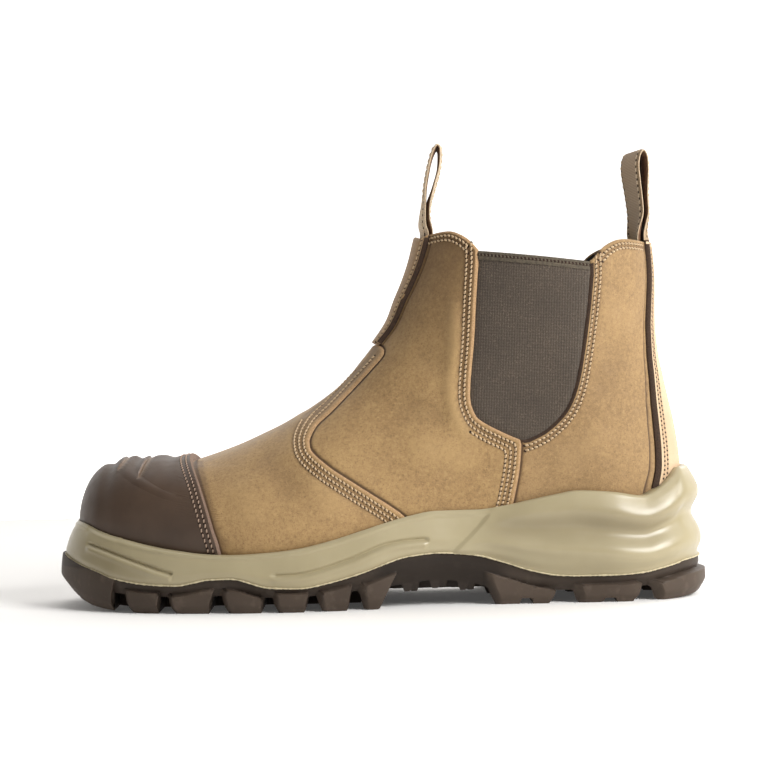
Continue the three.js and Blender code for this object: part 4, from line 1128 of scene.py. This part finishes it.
def crease(way, shift):
    """A line beside a claw's crease, as a signed distance."""

    def value(points):
        side = points[:, [0, 2]] / MM
        distance, _ = nearest(side, chain(way, 24))
        return np.where(side[:, 1] > way[-1][1] - 1, (-distance - shift) * MM, 1.0)

    return value


def claw_highlight(points):
    """Where a painted highlight lightens the ramp behind each claw's crease."""
    total = np.zeros(len(points))
    for _, behind, taper, ramp in claw_ramps(points):
        total = np.maximum(total, smooth(-0.2, 0.1, behind) * smooth(0, 0.6, ramp) * smooth(0, 0.3, taper))
    return total


claw_creases = [crease(way, shift) for way, _, _ in CLAWS for shift in (-0.5, 0.0)]


def spans(x=(-9, 9), z=(-9, 9)):
    """Keeps points whose x and z lie between shares of the length and of the height."""

    def kept(points):
        along = (points[:, 0] > x[0] * L) & (points[:, 0] < x[1] * L)
        return along & (points[:, 2] > z[0] * H) & (points[:, 2] < z[1] * H)

    return kept


def both(sheet, area, distance, keep, key, **kinds):
    for sign in (-1, 1):
        sew(*contour(sheet, area, distance, lambda p: keep(p) & (p[:, 1] * sign > 0), key), **kinds)


def by_height(points):
    return points[:, 2]


def by_length(points):
    return points[:, 0]


def over_cap(points):
    return np.arctan2(points[:, 2] - 0.01, points[:, 1])


def round_gore(points):
    return np.arctan2(points[:, 2] - 0.62 * H, points[:, 0] - 0.226 * L)


rear, rear_sheet = patch(
    "quarter_rear",
    0.0,
    LEATHER_BACK,
    [above_bed],
    # The edge along the gore takes dark_edge (slot 2): painted shade on a cut edge that is otherwise as pale
    # as raw_edge
    [(rear_area, 0.0015, 0.0007, 2), (below_collar, 0.0012, 0.0006, 0)],
    [rear_leather, raw_edge, dark_edge],
    [(rear_area, 0.0028, 0.0052), (below_collar, 0.0018, 0.0044)],
    shadows=[front_area, lambda p: 2.6 * backstay_area(p)],
)
finish_piece(rear, ["upper"])
for distance in (0.0026, 0.0047):
    both(rear_sheet, rear_area, distance, spans((0.216, 0.4), (0.38, 0.93)), round_gore)
for distance in (0.0021, 0.0042):
    both(rear_sheet, below_collar, distance, spans((0.325 + distance / L, 0.409), (0.9, 9)), by_length)

front, front_sheet = patch(
    "quarter_front",
    QUARTER_STEP,
    LEATHER_BACK,
    [above_bed],
    [(front_area, 0.0011, 0.0009, 1), (below_collar, 0.0010, 0.0007, 1)],
    [front_leather, raw_edge, dark_edge],
    [(front_area, 0.0022, 0.0056), (below_collar, 0.0018, 0.0044)],
    shadows=[vamp_area, lambda p: 2.2 * strip_area(p)],
)
finish_piece(front, ["upper"])
for distance in (0.0026, 0.0049):
    both(front_sheet, front_area, distance, spans((0.1, 9), (-9, 0.965)), by_height)
both(front_sheet, front_area, 0.0071, spans((0.12, 9), (-9, 0.46)), by_height)
for distance in (0.0021, 0.0042):
    both(front_sheet, below_collar, distance, spans((0.075, 0.139), (0.9, 9)), by_length)

vamp, vamp_sheet = patch(
    "vamp",
    VAMP_STEP,
    -LEATHER_BACK,
    [above_bed],
    [(vamp_area, 0.0011, 0.0007, 1)],
    [vamp_leather, raw_edge, dark_edge],
    [(lambda p: vamp_area(p) + np.maximum(0, 0.012 - np.abs(p[:, 1])), 0.0022, 0.0078)],
    shadows=[cap_area],
)
finish_piece(vamp, ["upper"])
for distance, top_end in ((0.0026, 0.672), (0.0048, 0.630), (0.0070, 0.500)):
    both(vamp_sheet, vamp_area, distance, spans((-0.2, 9), (-9, top_end)), by_height)

lining, _ = patch(
    "collar_lining",
    LINING_FACE,
    LINING_BACK,
    [above_bed, lambda p: below_collar(p) - 0.0006, lambda p: -in_gore(p) - 0.0019],
    [],
    [lining_cloth],
    plain_grid=True,
)
finish_piece(lining, ["upper"])

cap, cap_sheet = patch(
    "toe_cap_guard",
    hump,
    0.0003,
    [above_bed],
    [(cap_area, 0.0008, 0.0009, 1)],
    [guard, cap_edge],
    [(cap_area, 0.0022, 0.0056)],
    claw_creases,
    tint=claw_highlight,
)
finish_piece(cap, ["toe_cap"])
for distance in (0.0027, 0.0050):
    rows = contour(cap_sheet, cap_area, distance, spans((-0.36, 9)), over_cap)
    sew(*rows, pitch=0.0024, length=0.0016, thread=0.00036, kind=cap_threads)

strip, strip_sheet = patch(
    "front_strip_leather",
    STRIP_FACE,
    STRIP_BACK,
    [strip_foot, lambda p: 0.2 * L - p[:, 0]],
    [(strip_area, 0.0009, 0.0011, 1), (below_collar, 0.0010, 0.0006, 0)],
    [strip_leather, dark_edge],
    [(strip_area, 0.0024, 0.0034)],
)
finish_piece(strip, ["front_strip"])
# The bar tack at the vamp's tab
for sign in (-1, 1):
    for k in range(4):
        tip = vamp_sheet["points"]
        target = np.array([0.0012 + 0.0004 * k, sign * 0.0062, (0.676 + 0.0075 * k) * H])
        spot = ((tip - target) ** 2).sum(1).argmin()
        centre, up = tip[spot], vamp_sheet["normals"][spot]
        along = np.linspace(-0.0022, 0.0022, 5)[:, None] * np.cross(up, [0.6, 0, 0.8])
        tack = (centre + up * 0.0003 + along)[None]
        threads.append(tubes(tack, np.tile(up, (1, 5, 1)), np.full(5, 0.00045)))
both(strip_sheet, strip_area, 0.0028, spans(z=(0.70, 9)), by_height, pitch=0.0024, length=0.0019)

stay, stay_sheet = patch(
    "backstay_leather",
    BACKSTAY_FACE,
    0.00002,
    [above_bed, lambda p: p[:, 0] - 0.25 * L],
    [(backstay_area, 0.0016, 0.0013, 1), (below_collar, 0.0012, 0.0006, 0)],
    [heel_leather, dark_edge],
    [(backstay_area, 0.0030, 0.0052)],
)
finish_piece(stay, ["backstay"])
for distance in (0.0034, 0.0052):
    both(stay_sheet, backstay_area, distance, spans((0.3, 9), (0.2, 9)), by_height, thread=0.00024)

for side, sign in (("lateral", -1), ("medial", 1)):
    def this_side(points, sign=sign):
        return points[:, 1] * sign

    panel, _ = patch(
        f"gore_{side}_elastic",
        lambda p: -0.00028 - 0.00072 * (1 - smooth(0.0, 0.0012, in_gore(p))),
        -0.0014,
        [lambda p: in_gore(p) + 0.0015, gore_below, this_side],
        [],
        [elastic],
    )
    finish_piece(panel, [f"gore_{side}"])
    bound, bound_sheet = patch(
        f"gore_{side}_binding",
        0.0001,
        -0.0016,
        [lambda p: in_gore(p) - 0.0003, this_side, lambda p: 0.0040 - gore_below(p)],
        [(gore_below, 0.0009, 0.0005, 0)],
        [binding],
    )
    finish_piece(bound)
    rows = contour(bound_sheet, gore_below, 0.0018, spans(z=(0.8, 9)), by_length)
    sew(*rows, pitch=0.0017, length=0.0011, thread=0.00022, kind=gore_threads)


# The sole

sole_outer = curve(SOLE_PLAN, 0, 1)
sole_inner = curve(SOLE_PLAN, 0, 2)
sole_top = curve(SOLE_SIDE, 0, 1)
sole_mid = curve(SOLE_SIDE, 0, 2)
sole_under = curve(SOLE_SIDE, 0, 3)
ground_z = curve(GROUND, 0, 1)
wall_front = curve(MID_WALL, 0, 1)
wall_back = curve(MID_WALL, 0, 2)
wall_side = curve(MID_WALL, 0, 3)


def plan_point(share, outer, front, back, stand):
    """A point of the sole's outline: share runs from toe to heel, stand is how far the side stands out."""
    x = (front + (back - front) * share) * L
    plan = np.where(outer, sole_outer(x / L), sole_inner(x / L))
    toe = rounding(x - front * L, 0.215 * L, 2.25)
    heel = rounding(back * L - x, 0.155 * L, 2.15)
    half = (plan + stand) * SOLE_WIDTH * toe * heel
    return x, np.where(outer, -half, half)


fine_share = (1 - np.cos(np.linspace(0, np.pi, 8001))) / 2
spots = np.stack(plan_point(fine_share, np.ones(8001, bool), -0.5, 0.5, 0.0), axis=1)
gone = run_length(spots)
half_share = np.interp(np.linspace(0, gone[-1], STATIONS + 1), gone, fine_share)
half_share[0], half_share[-1] = 0, 1
ring_share = np.concatenate([half_share, half_share[-2:0:-1]])
ring_outer = np.concatenate([np.ones(STATIONS + 1, bool), np.zeros(STATIONS - 1, bool)])
RING = len(ring_share)


def plan_normals(ring):
    run = np.roll(ring, -1, axis=0) - np.roll(ring, 1, axis=0)
    return unit(np.stack([run[:, 1], -run[:, 0]], axis=1))


def band_faces(count, rings, closed=False):
    faces = []
    j = np.arange(count)
    k = (j + 1) % count
    for i in range(rings if closed else rings - 1):
        a = i * count
        b = ((i + 1) % rings) * count
        faces.append(np.stack([a + j, a + k, b + k, b + j], axis=1))
    return np.vstack(faces)


def wall_detail(x, z, level):
    """Grooves, lips and ribs of the midsole's side, in metres outwards."""
    side = np.stack([x, z], axis=1) / MM
    out = np.zeros(len(x))
    for way, width, depth, lip in GROOVES:
        distance, along = nearest(side, chain(way, 40))
        fade = smooth(0, 0.06, along) * (1 - smooth(0.97, 1, along))
        out += MM * fade * (lip * bell(distance - 2.0, 1.6) - depth * bell(distance, width))
    share = x / L
    edge = 0.105 + 0.06 * level
    behind = smooth(edge - 0.005, edge + 0.005, share)
    back_way = smooth(0.16, 0.44, share)
    high_rib = 0.87 - 0.13 * back_way
    valley = 0.62 - 0.12 * back_way
    low_rib = 0.36 - 0.12 * back_way
    deep = 0.35 + 0.65 * smooth(0.18, 0.36, share)
    ribs = 0.0022 * bell(level - high_rib, 0.16) - 0.0020 * deep * bell(level - valley, 0.11)
    ribs += 0.0022 * bell(level - low_rib, 0.13) - 0.0014 * bell(level - 0.04, 0.08)
    grown = smooth(edge, edge + 0.07, share)
    out += behind * 0.0009 + grown * ribs
    out += 0.0007 * bell(level - 0.95, 0.06) * (1 - behind)
    return out


def wall_shade(x, level):
    """Painted shade on the midsole's side: at the toe groove, in the dome's hollow and at the lower edge."""
    share = x / L
    toe = 0.30 * (1 - smooth(-0.42, -0.30, share)) * bell(level - 0.30, 0.3)
    heel = smooth(0.12, 0.20, share) * (1 - smooth(0.40, 0.46, share))
    dome = 0.46 * heel * bell(level - 0.60, 0.24)
    return np.maximum(toe, dome) + 0.25 * (1 - smooth(0, 0.10, level))


sheets = [rear_sheet, front_sheet, vamp_sheet, cap_sheet, stay_sheet]
starts = np.cumsum([0] + [len(sheet["points"]) for sheet in sheets[:-1]])
shell_points = np.vstack([sheet["points"] for sheet in sheets])
shell_faces = np.vstack([sheet["faces"] + first for sheet, first in zip(sheets, starts)])
shells = BVHTree.FromPolygons(shell_points.tolist(), shell_faces.tolist())


def reach_upper(points, inward, gap):
    """The points moved along inward until they are a gap short of the upper."""
    moved = points.copy()
    for k in range(len(points)):
        way = Vector((inward[k][0], inward[k][1], 0))
        start = Vector(points[k]) - way * 0.004
        spot, _, _, distance = shells.ray_cast(start, way, 0.05)
        travel = (distance if spot is not None else 0.012) - 0.004 - gap
        moved[k] = points[k] + np.array(way) * max(travel, 0.0004)
    return moved


def midsole_rings():
    """Rings of the midsole from its lower edge up, over its lip and down inside, and how dark they are."""
    rings = []
    shade = []
    for i in range(WALL_LEVELS + 1):
        level = i / WALL_LEVELS
        x, y = plan_point(ring_share, ring_outer, wall_front(level), wall_back(level), wall_side(level))
        z = (sole_mid(x / L) + (sole_top(x / L) - sole_mid(x / L)) * level) * H
        out = plan_normals(np.stack([x, y], axis=1))
        detail = wall_detail(x, z, level)
        rings.append(np.stack([x + out[:, 0] * detail, y + out[:, 1] * detail, z], axis=1))
        shade.append(wall_shade(x, level))
    top_ring = rings[-1]
    inward = -plan_normals(top_ring[:, :2])
    touch = reach_upper(top_ring, inward, 0.0002)
    lip = top_ring * 0.75 + touch * 0.25
    lip[:, 2] += 0.0006
    inner_lip = top_ring * 0.15 + touch * 0.85
    inner_lip[:, 2] += 0.0005
    deep = top_ring.copy()
    deep[:, 2] -= 0.005
    deep = reach_upper(deep, inward, 0.0001)
    bottom = rings[0].copy()
    bottom[:, :2] += inward * 0.012
    return [*rings, lip, inner_lip, touch, deep, bottom], shade + [np.zeros(RING)] * 5


rings, shade = midsole_rings()
faces = band_faces(RING, len(rings), closed=True)
midsole = make("midsole_foam", np.vstack(rings), faces, None, [foam], 40, {"tint": np.concatenate(shade)})
finish_piece(midsole, ["midsole"])


def flash_line():
    """Rings of the thin, ragged flash line between the midsole and the tread."""
    x, y = plan_point(ring_share, ring_outer, wall_front(0.0), wall_back(0.0), wall_side(0.0))
    z = sole_mid(x / L) * H
    path = np.stack([x, y, z], axis=1)
    out = plan_normals(path[:, :2])
    ragged = 0.00035 + 0.00018 * np.sin(x * 2300 + 3 * np.sin(x * 710)) * np.sin(x * 1130 + y * 900)
    rings = []
    for turn in np.arange(8) * math.pi / 4:
        spot = path.copy()
        spot[:, :2] += out * ((0.0002 + ragged * math.cos(turn))[:, None])
        spot[:, 2] += ragged * 0.9 * math.sin(turn) - 0.0001
        rings.append(spot)
    return np.vstack(rings)


flash_tone = plain("flash_line", tone(186, 172, 138), tone(206, 194, 160), 0.6)
flash = make("midsole_flash", flash_line(), band_faces(RING, 8, closed=True), None, [flash_tone], 80)
finish_piece(flash)


def follow(x, centre):
    """How much higher than over a bar's centre the midsole's lower edge is."""
    return (sole_mid(x / L) - sole_mid(centre)) * H if centre > -0.42 else 0.0 * x


def bar_shift(inner):
    return np.where(inner, BAR_SHIFT * L, 0.0)


def lug_depth(x, z, inner):
    """How far inside a tread bar a point of the sole's side is, in metres."""
    best = np.full(len(x), -1.0)
    shift = bar_shift(inner)
    for rear, foot, tip, ahead, top in LUGS:
        top_z = top * H
        t = z / top_z
        right = foot * L + (rear - foot) * L * t + shift - x
        left = x - (tip * L + (ahead - tip) * L * t + shift)
        below_top = top_z + follow(x, (rear + ahead) / 2) - z
        best = np.maximum(best, np.minimum(np.minimum(right, left), below_top))
    return best


def floor_z(x, inner):
    """The underside along the boot: the ground under bars, the band between them."""
    between = sole_under(x / L) * H
    lowest = ground_z(x / L) * H
    shift = bar_shift(inner)
    for rear, foot, tip, ahead, top in LUGS:
        behind = (x - foot * L - shift) / ((rear - foot) * L) * top * H
        before = (tip * L + shift - x) / ((tip - ahead) * L) * top * H
        flank = np.maximum(np.maximum(behind, before), 0)
        between = np.minimum(between, np.maximum(lowest, flank))
    for start, end, height in NOTCHES:
        cut = smooth(start - 0.0005, start, x - shift) * (1 - smooth(end, end + 0.0005, x - shift))
        between = np.maximum(between, cut * height)
    for middle_x, down in ARCH_RIBS:
        rib = 1 - smooth(0.004, 0.009, np.abs(x / L - middle_x))
        between = between - rib * (sole_under(x / L) - down) * H
    return between


band_stand = curve([(0, -0.03), (0.5, -0.008), (1, -0.004)], 0, 1)
band_back = curve([(0, 0.478), (0.5, 0.490), (1, 0.489)], 0, 1)
bar_stand = curve([(0, -0.016), (0.23, 0.0), (0.6, 0.003), (1, 0.0)], 0, 1)
bar_front = curve([(0, -0.4925), (0.23, -0.5), (0.6, -0.4985), (1, -0.4945)], 0, 1)
bar_back = curve([(0, 0.4935), (0.23, 0.5), (0.6, 0.499), (1, 0.4915)], 0, 1)


def arch_way(share):
    return smooth(-0.03, 0.01, share) * (1 - smooth(0.17, 0.20, share))


def height_share(share, z, lowest):
    """How far up the tread a height is, from its lowest line to just over the midsole's lower edge."""
    return np.clip((z - lowest(share) * H) / ((sole_mid(share) + 0.02 - lowest(share)) * H), 0, 1)


def tread_wall():
    """Rings of the tread's side from the midsole down to the ground, and the painted shade on them between
    the bars.
    """
    nominal_x, _ = plan_point(ring_share, ring_outer, -0.496, 0.494, 0.0)
    share = nominal_x / L
    inner_side = ~ring_outer
    roof = sole_mid(share) * H - GAP
    floor = floor_z(nominal_x, inner_side)
    rings = []
    shade = []
    for i in range(SOLE_LEVELS + 1):
        z = roof + (floor - roof) * (i / SOLE_LEVELS)
        in_band = height_share(share, z, sole_under)
        in_bar = height_share(share, z, ground_z)
        proud = smooth(-0.0003, 0.0007, lug_depth(nominal_x, z, inner_side))
        front_end = bar_front(in_bar)
        back_end = band_back(in_band) + proud * (bar_back(in_bar) - band_back(in_band))
        at_toe = 1 - smooth(-0.47, -0.44, share)
        band = band_stand(in_band) + at_toe * 0.7 * (bar_stand(in_bar) - band_stand(in_band))
        stand = band + proud * (bar_stand(in_bar) - band)
        x, y = plan_point(ring_share, ring_outer, front_end, back_end, stand)
        rings.append(np.stack([x, y, z], axis=1))
        shade.append((1 - proud) * smooth(0.02, 0.4, 1 - in_band) * (0.55 + 0.4 * arch_way(share)))
    return rings, shade


def tread_underside(edge):
    """Rows of points across the underside, from the outer edge to the inner one, from toe to heel."""
    t = np.arange(1, ACROSS) / ACROSS
    rows = []
    for j in range(1, STATIONS):
        outer_spot, inner_spot = edge[j], edge[RING - j]
        row = outer_spot + (inner_spot - outer_spot) * t[:, None]
        inner_half = row[:, 1] > 0
        z = floor_z(row[:, 0], inner_half)
        off_middle = np.abs(row[:, 1]) / SOLE_WIDTH
        if row[:, 0].mean() < -0.03 * L:
            z = np.where(off_middle < 0.2, floor_z(row[:, 0] - 0.021 * L, inner_half), z)
        channel = 1 - smooth(0.030, 0.042, off_middle)
        gap_z = sole_under(row[:, 0] / L) * H
        arch = smooth(-0.015, 0.0, row[:, 0] / L) * (1 - smooth(0.155, 0.165, row[:, 0] / L))
        shank = arch * (1 - smooth(0.27, 0.29, off_middle))
        z = z + (np.minimum(z, 0.042 * H) - z) * shank
        channel = channel * (1 - arch)
        row[:, 2] = z + (gap_z - z) * channel
        rows.append(row)
    return np.vstack(rows)


def tread_faces(wall_count):
    """Faces of the tread: its side, its underside and its flat top. wall_count points make the side."""
    last = SOLE_LEVELS * RING

    def under(j, m):
        if m == 0:
            return last + j
        if m == ACROSS:
            return last + (RING - j) % RING
        return wall_count + (j - 1) * (ACROSS - 1) + m - 1

    faces = band_faces(RING, SOLE_LEVELS + 1).tolist()
    for j in range(1, STATIONS - 1):
        for m in range(ACROSS):
            faces.append([under(j, m), under(j + 1, m), under(j + 1, m + 1), under(j, m + 1)][::-1])
    for j, tip_point in ((1, last), (STATIONS - 1, last + STATIONS)):
        for m in range(ACROSS):
            corners = [under(j, m), under(j, m + 1), tip_point]
            faces.append(corners if j == 1 else corners[::-1])
    for j in range(STATIONS):
        opposite, ahead = (RING - j) % RING, (RING - j - 1) % RING
        corners = [j, j + 1, ahead, opposite]
        if j == 0:
            corners = [0, 1, ahead]
        elif j == STATIONS - 1:
            corners = [j, j + 1, opposite]
        faces.append(corners[::-1])
    return faces


rings, shade = tread_wall()
side_points = np.vstack(rings)
under_points = tread_underside(rings[-1])
# Painted shade on the underside where it lies above the ground, and on the side between the bars
under_shade = smooth(0.0015, 0.005, under_points[:, 2] - ground_z(under_points[:, 0] / L) * H)
painted_shading = np.concatenate([*shade, under_shade])
points = np.vstack([side_points, under_points])
outsole = make("outsole_tread", points, tread_faces(len(side_points)), None, [rubber], 50, {"tint": painted_shading})
finish_piece(outsole, ["outsole"])


# Pull loops


def strap(name, rows, twist_rows, bow_sign, bow_from, bow_to, outer_material):
    """A folded strap. bow_sign tells which way its edges bend at the foot, and which face looks outwards."""
    path = chain(line(rows), 110)
    run = unit(np.gradient(path, axis=0))
    steps = np.linspace(0, 1, len(path))
    twist = np.interp(steps, np.linspace(0, 1, len(twist_rows)), twist_rows) * math.radians(LOOP_TWIST)
    axis_x = rows[len(rows) // 2 - 1][0] * L if any(twist_rows) else 0.0
    facing = np.stack([np.cos(twist), np.sin(twist)], axis=1)
    centre = np.zeros((len(path), 3))
    centre[:, :2] = facing * (path[:, :1] - axis_x)
    centre[:, 0] += axis_x
    centre[:, 2] = path[:, 1]
    out = np.concatenate([facing * -run[:, 1:], run[:, :1]], axis=1)
    wide = np.stack([-np.sin(twist), np.cos(twist), np.zeros(len(path))], axis=1)
    bow = bow_sign * 0.0175 * H * (1 - smooth(bow_from, bow_to, path[:, 1] / H))
    across = np.linspace(-1, 1, 17)
    face = LOOP_THICKNESS / 2 * (1 - 0.75 * np.abs(across) ** 14)
    section = [(s, f) for s, f in zip(across, face)] + [(s, -f) for s, f in zip(across[::-1], face[::-1])]
    rings = []
    for s, f in section:
        spot = centre + wide * (s * LOOP_WIDTH / 2) + out * f
        spot[:, 0] += bow * s * s
        rings.append(spot)
    count = len(section)
    points = np.stack(rings, axis=1).reshape(-1, 3)
    faces, slots = [], []
    for i in range(len(path) - 1):
        for k in range(count):
            m = (k + 1) % count
            faces.append([i * count + k, i * count + m, (i + 1) * count + m, (i + 1) * count + k])
            edge_face = k % (count // 2) == count // 2 - 1
            slots.append(2 if edge_face else 0 if (k < count // 2) == (bow_sign > 0) else 1)
    faces.append(list(range(count))[::-1])
    faces.append(list(range((len(path) - 1) * count, len(path) * count)))
    piece = make(name, points, faces, slots + [1, 1], [outer_material, strap_in, strap_edge], 50)
    for s in (-0.82, 0.82):
        along = centre + wide * (s * LOOP_WIDTH / 2) + out * (bow_sign * LOOP_THICKNESS / 2)
        along[:, 0] += bow * s * s
        seen = path[:, 1] > 0.98 * H
        sew(along[seen], out[seen] * bow_sign, pitch=0.0030, length=0.0021, thread=0.00034, kind=loop_threads)
    return piece


front_rows = [(0.0703, 0.9760), *FRONT_LOOP]
front_loop = strap("pull_loop_front_strap", front_rows, [0] * len(front_rows), 1, 0.99, 1.15, strap_front)
finish_piece(front_loop, ["pull_loop_front"])
back_rows = [row[:2] for row in BACK_LOOP]
back_twist = [row[2] for row in BACK_LOOP]
back_loop = strap("pull_loop_back_strap", back_rows, back_twist, -1, 0.975, 1.06, strap_out)
finish_piece(back_loop, ["pull_loop_back"])

gather("stitches", threads, thread)
gather("stitches_cap", cap_threads, cap_thread)
gather("stitches_gore", gore_threads, gore_thread)
gather("stitches_loops", loop_threads, loop_thread)
gather("stitch_holes", holes, hole)

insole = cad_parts["insole"]
insole.data.materials.clear()
insole.data.materials.append(bed_cloth)


# Floor, light and camera


def paper(name, colour, glow):
    material = bpy.data.materials.new(name)
    material.use_nodes = True
    sheet = material.node_tree.nodes["Principled BSDF"]
    sheet.inputs["Base Color"].default_value = colour
    sheet.inputs["Roughness"].default_value = 0.9
    sheet.inputs["Emission Color"].default_value = tone(255, 253, 251)
    sheet.inputs["Emission Strength"].default_value = glow
    return material


floor_rows = [(-9, 0), (0.6, 0), (1.6, 0)]
floor_rows += [(1.6 + 0.9 * math.sin(t), 0.9 - 0.9 * math.cos(t)) for t in np.linspace(0.1, 1.57, 16)]
floor_rows += [(2.5, 9)]
points = np.array([(x, y, z) for y, z in floor_rows for x in (-9, 9)])
faces = [[2 * k, 2 * k + 1, 2 * k + 3, 2 * k + 2] for k in range(len(floor_rows) - 1)]
slots = [0] + [1] * (len(faces) - 1)
white = tone(248, 246, 243)
papers = [paper("paper", white, FLOOR_GLOW), paper("paper_far", white, WALL_GLOW)]
backdrop = make("floor", points, faces, slots, papers, 80)


def area_light(name, place, target, width, depth, power):
    light = bpy.data.lights.new(name, "AREA")
    light.shape = "RECTANGLE"
    light.size = width
    light.size_y = depth
    light.energy = power
    holder = bpy.data.objects.new(name, light)
    holder.location = place
    holder.rotation_mode = "QUATERNION"
    holder.rotation_quaternion = (Vector(target) - Vector(place)).to_track_quat("-Z", "Y")
    bpy.context.scene.collection.objects.link(holder)


area_light("key", (1.0, -0.7, 0.75), (0.02, 0, 0.08), 0.7, 0.7, KEY_POWER)
area_light("top", (0.15, 0.2, 1.5), (0, 0, 0.1), 1.4, 1.0, TOP_POWER)
area_light("fill", (-0.9, -1.4, 0.6), (0, 0, 0.08), 1.2, 1.2, FILL_POWER)
area_light("rim", (0.8, 0.9, 0.8), (0.05, 0, 0.1), 0.6, 0.6, RIM_POWER)

world = bpy.data.worlds.new("studio")
world.use_nodes = True
world.node_tree.nodes["Background"].inputs["Color"].default_value = (1, 0.995, 0.99, 1)
world.node_tree.nodes["Background"].inputs["Strength"].default_value = WORLD_LIGHT
bpy.context.scene.world = world

camera_data = bpy.data.cameras.new("camera")
camera_data.lens = CAMERA_LENS
camera_data.sensor_width = CAMERA_SENSOR
camera = bpy.data.objects.new("camera", camera_data)
camera.location = CAMERA_PLACE
camera.rotation_euler = (math.radians(90), math.radians(CAMERA_ROLL), 0)
bpy.context.scene.collection.objects.link(camera)
bpy.context.scene.camera = camera
bpy.context.scene.view_settings.view_transform = "Standard"

bpy.context.view_layer.update()
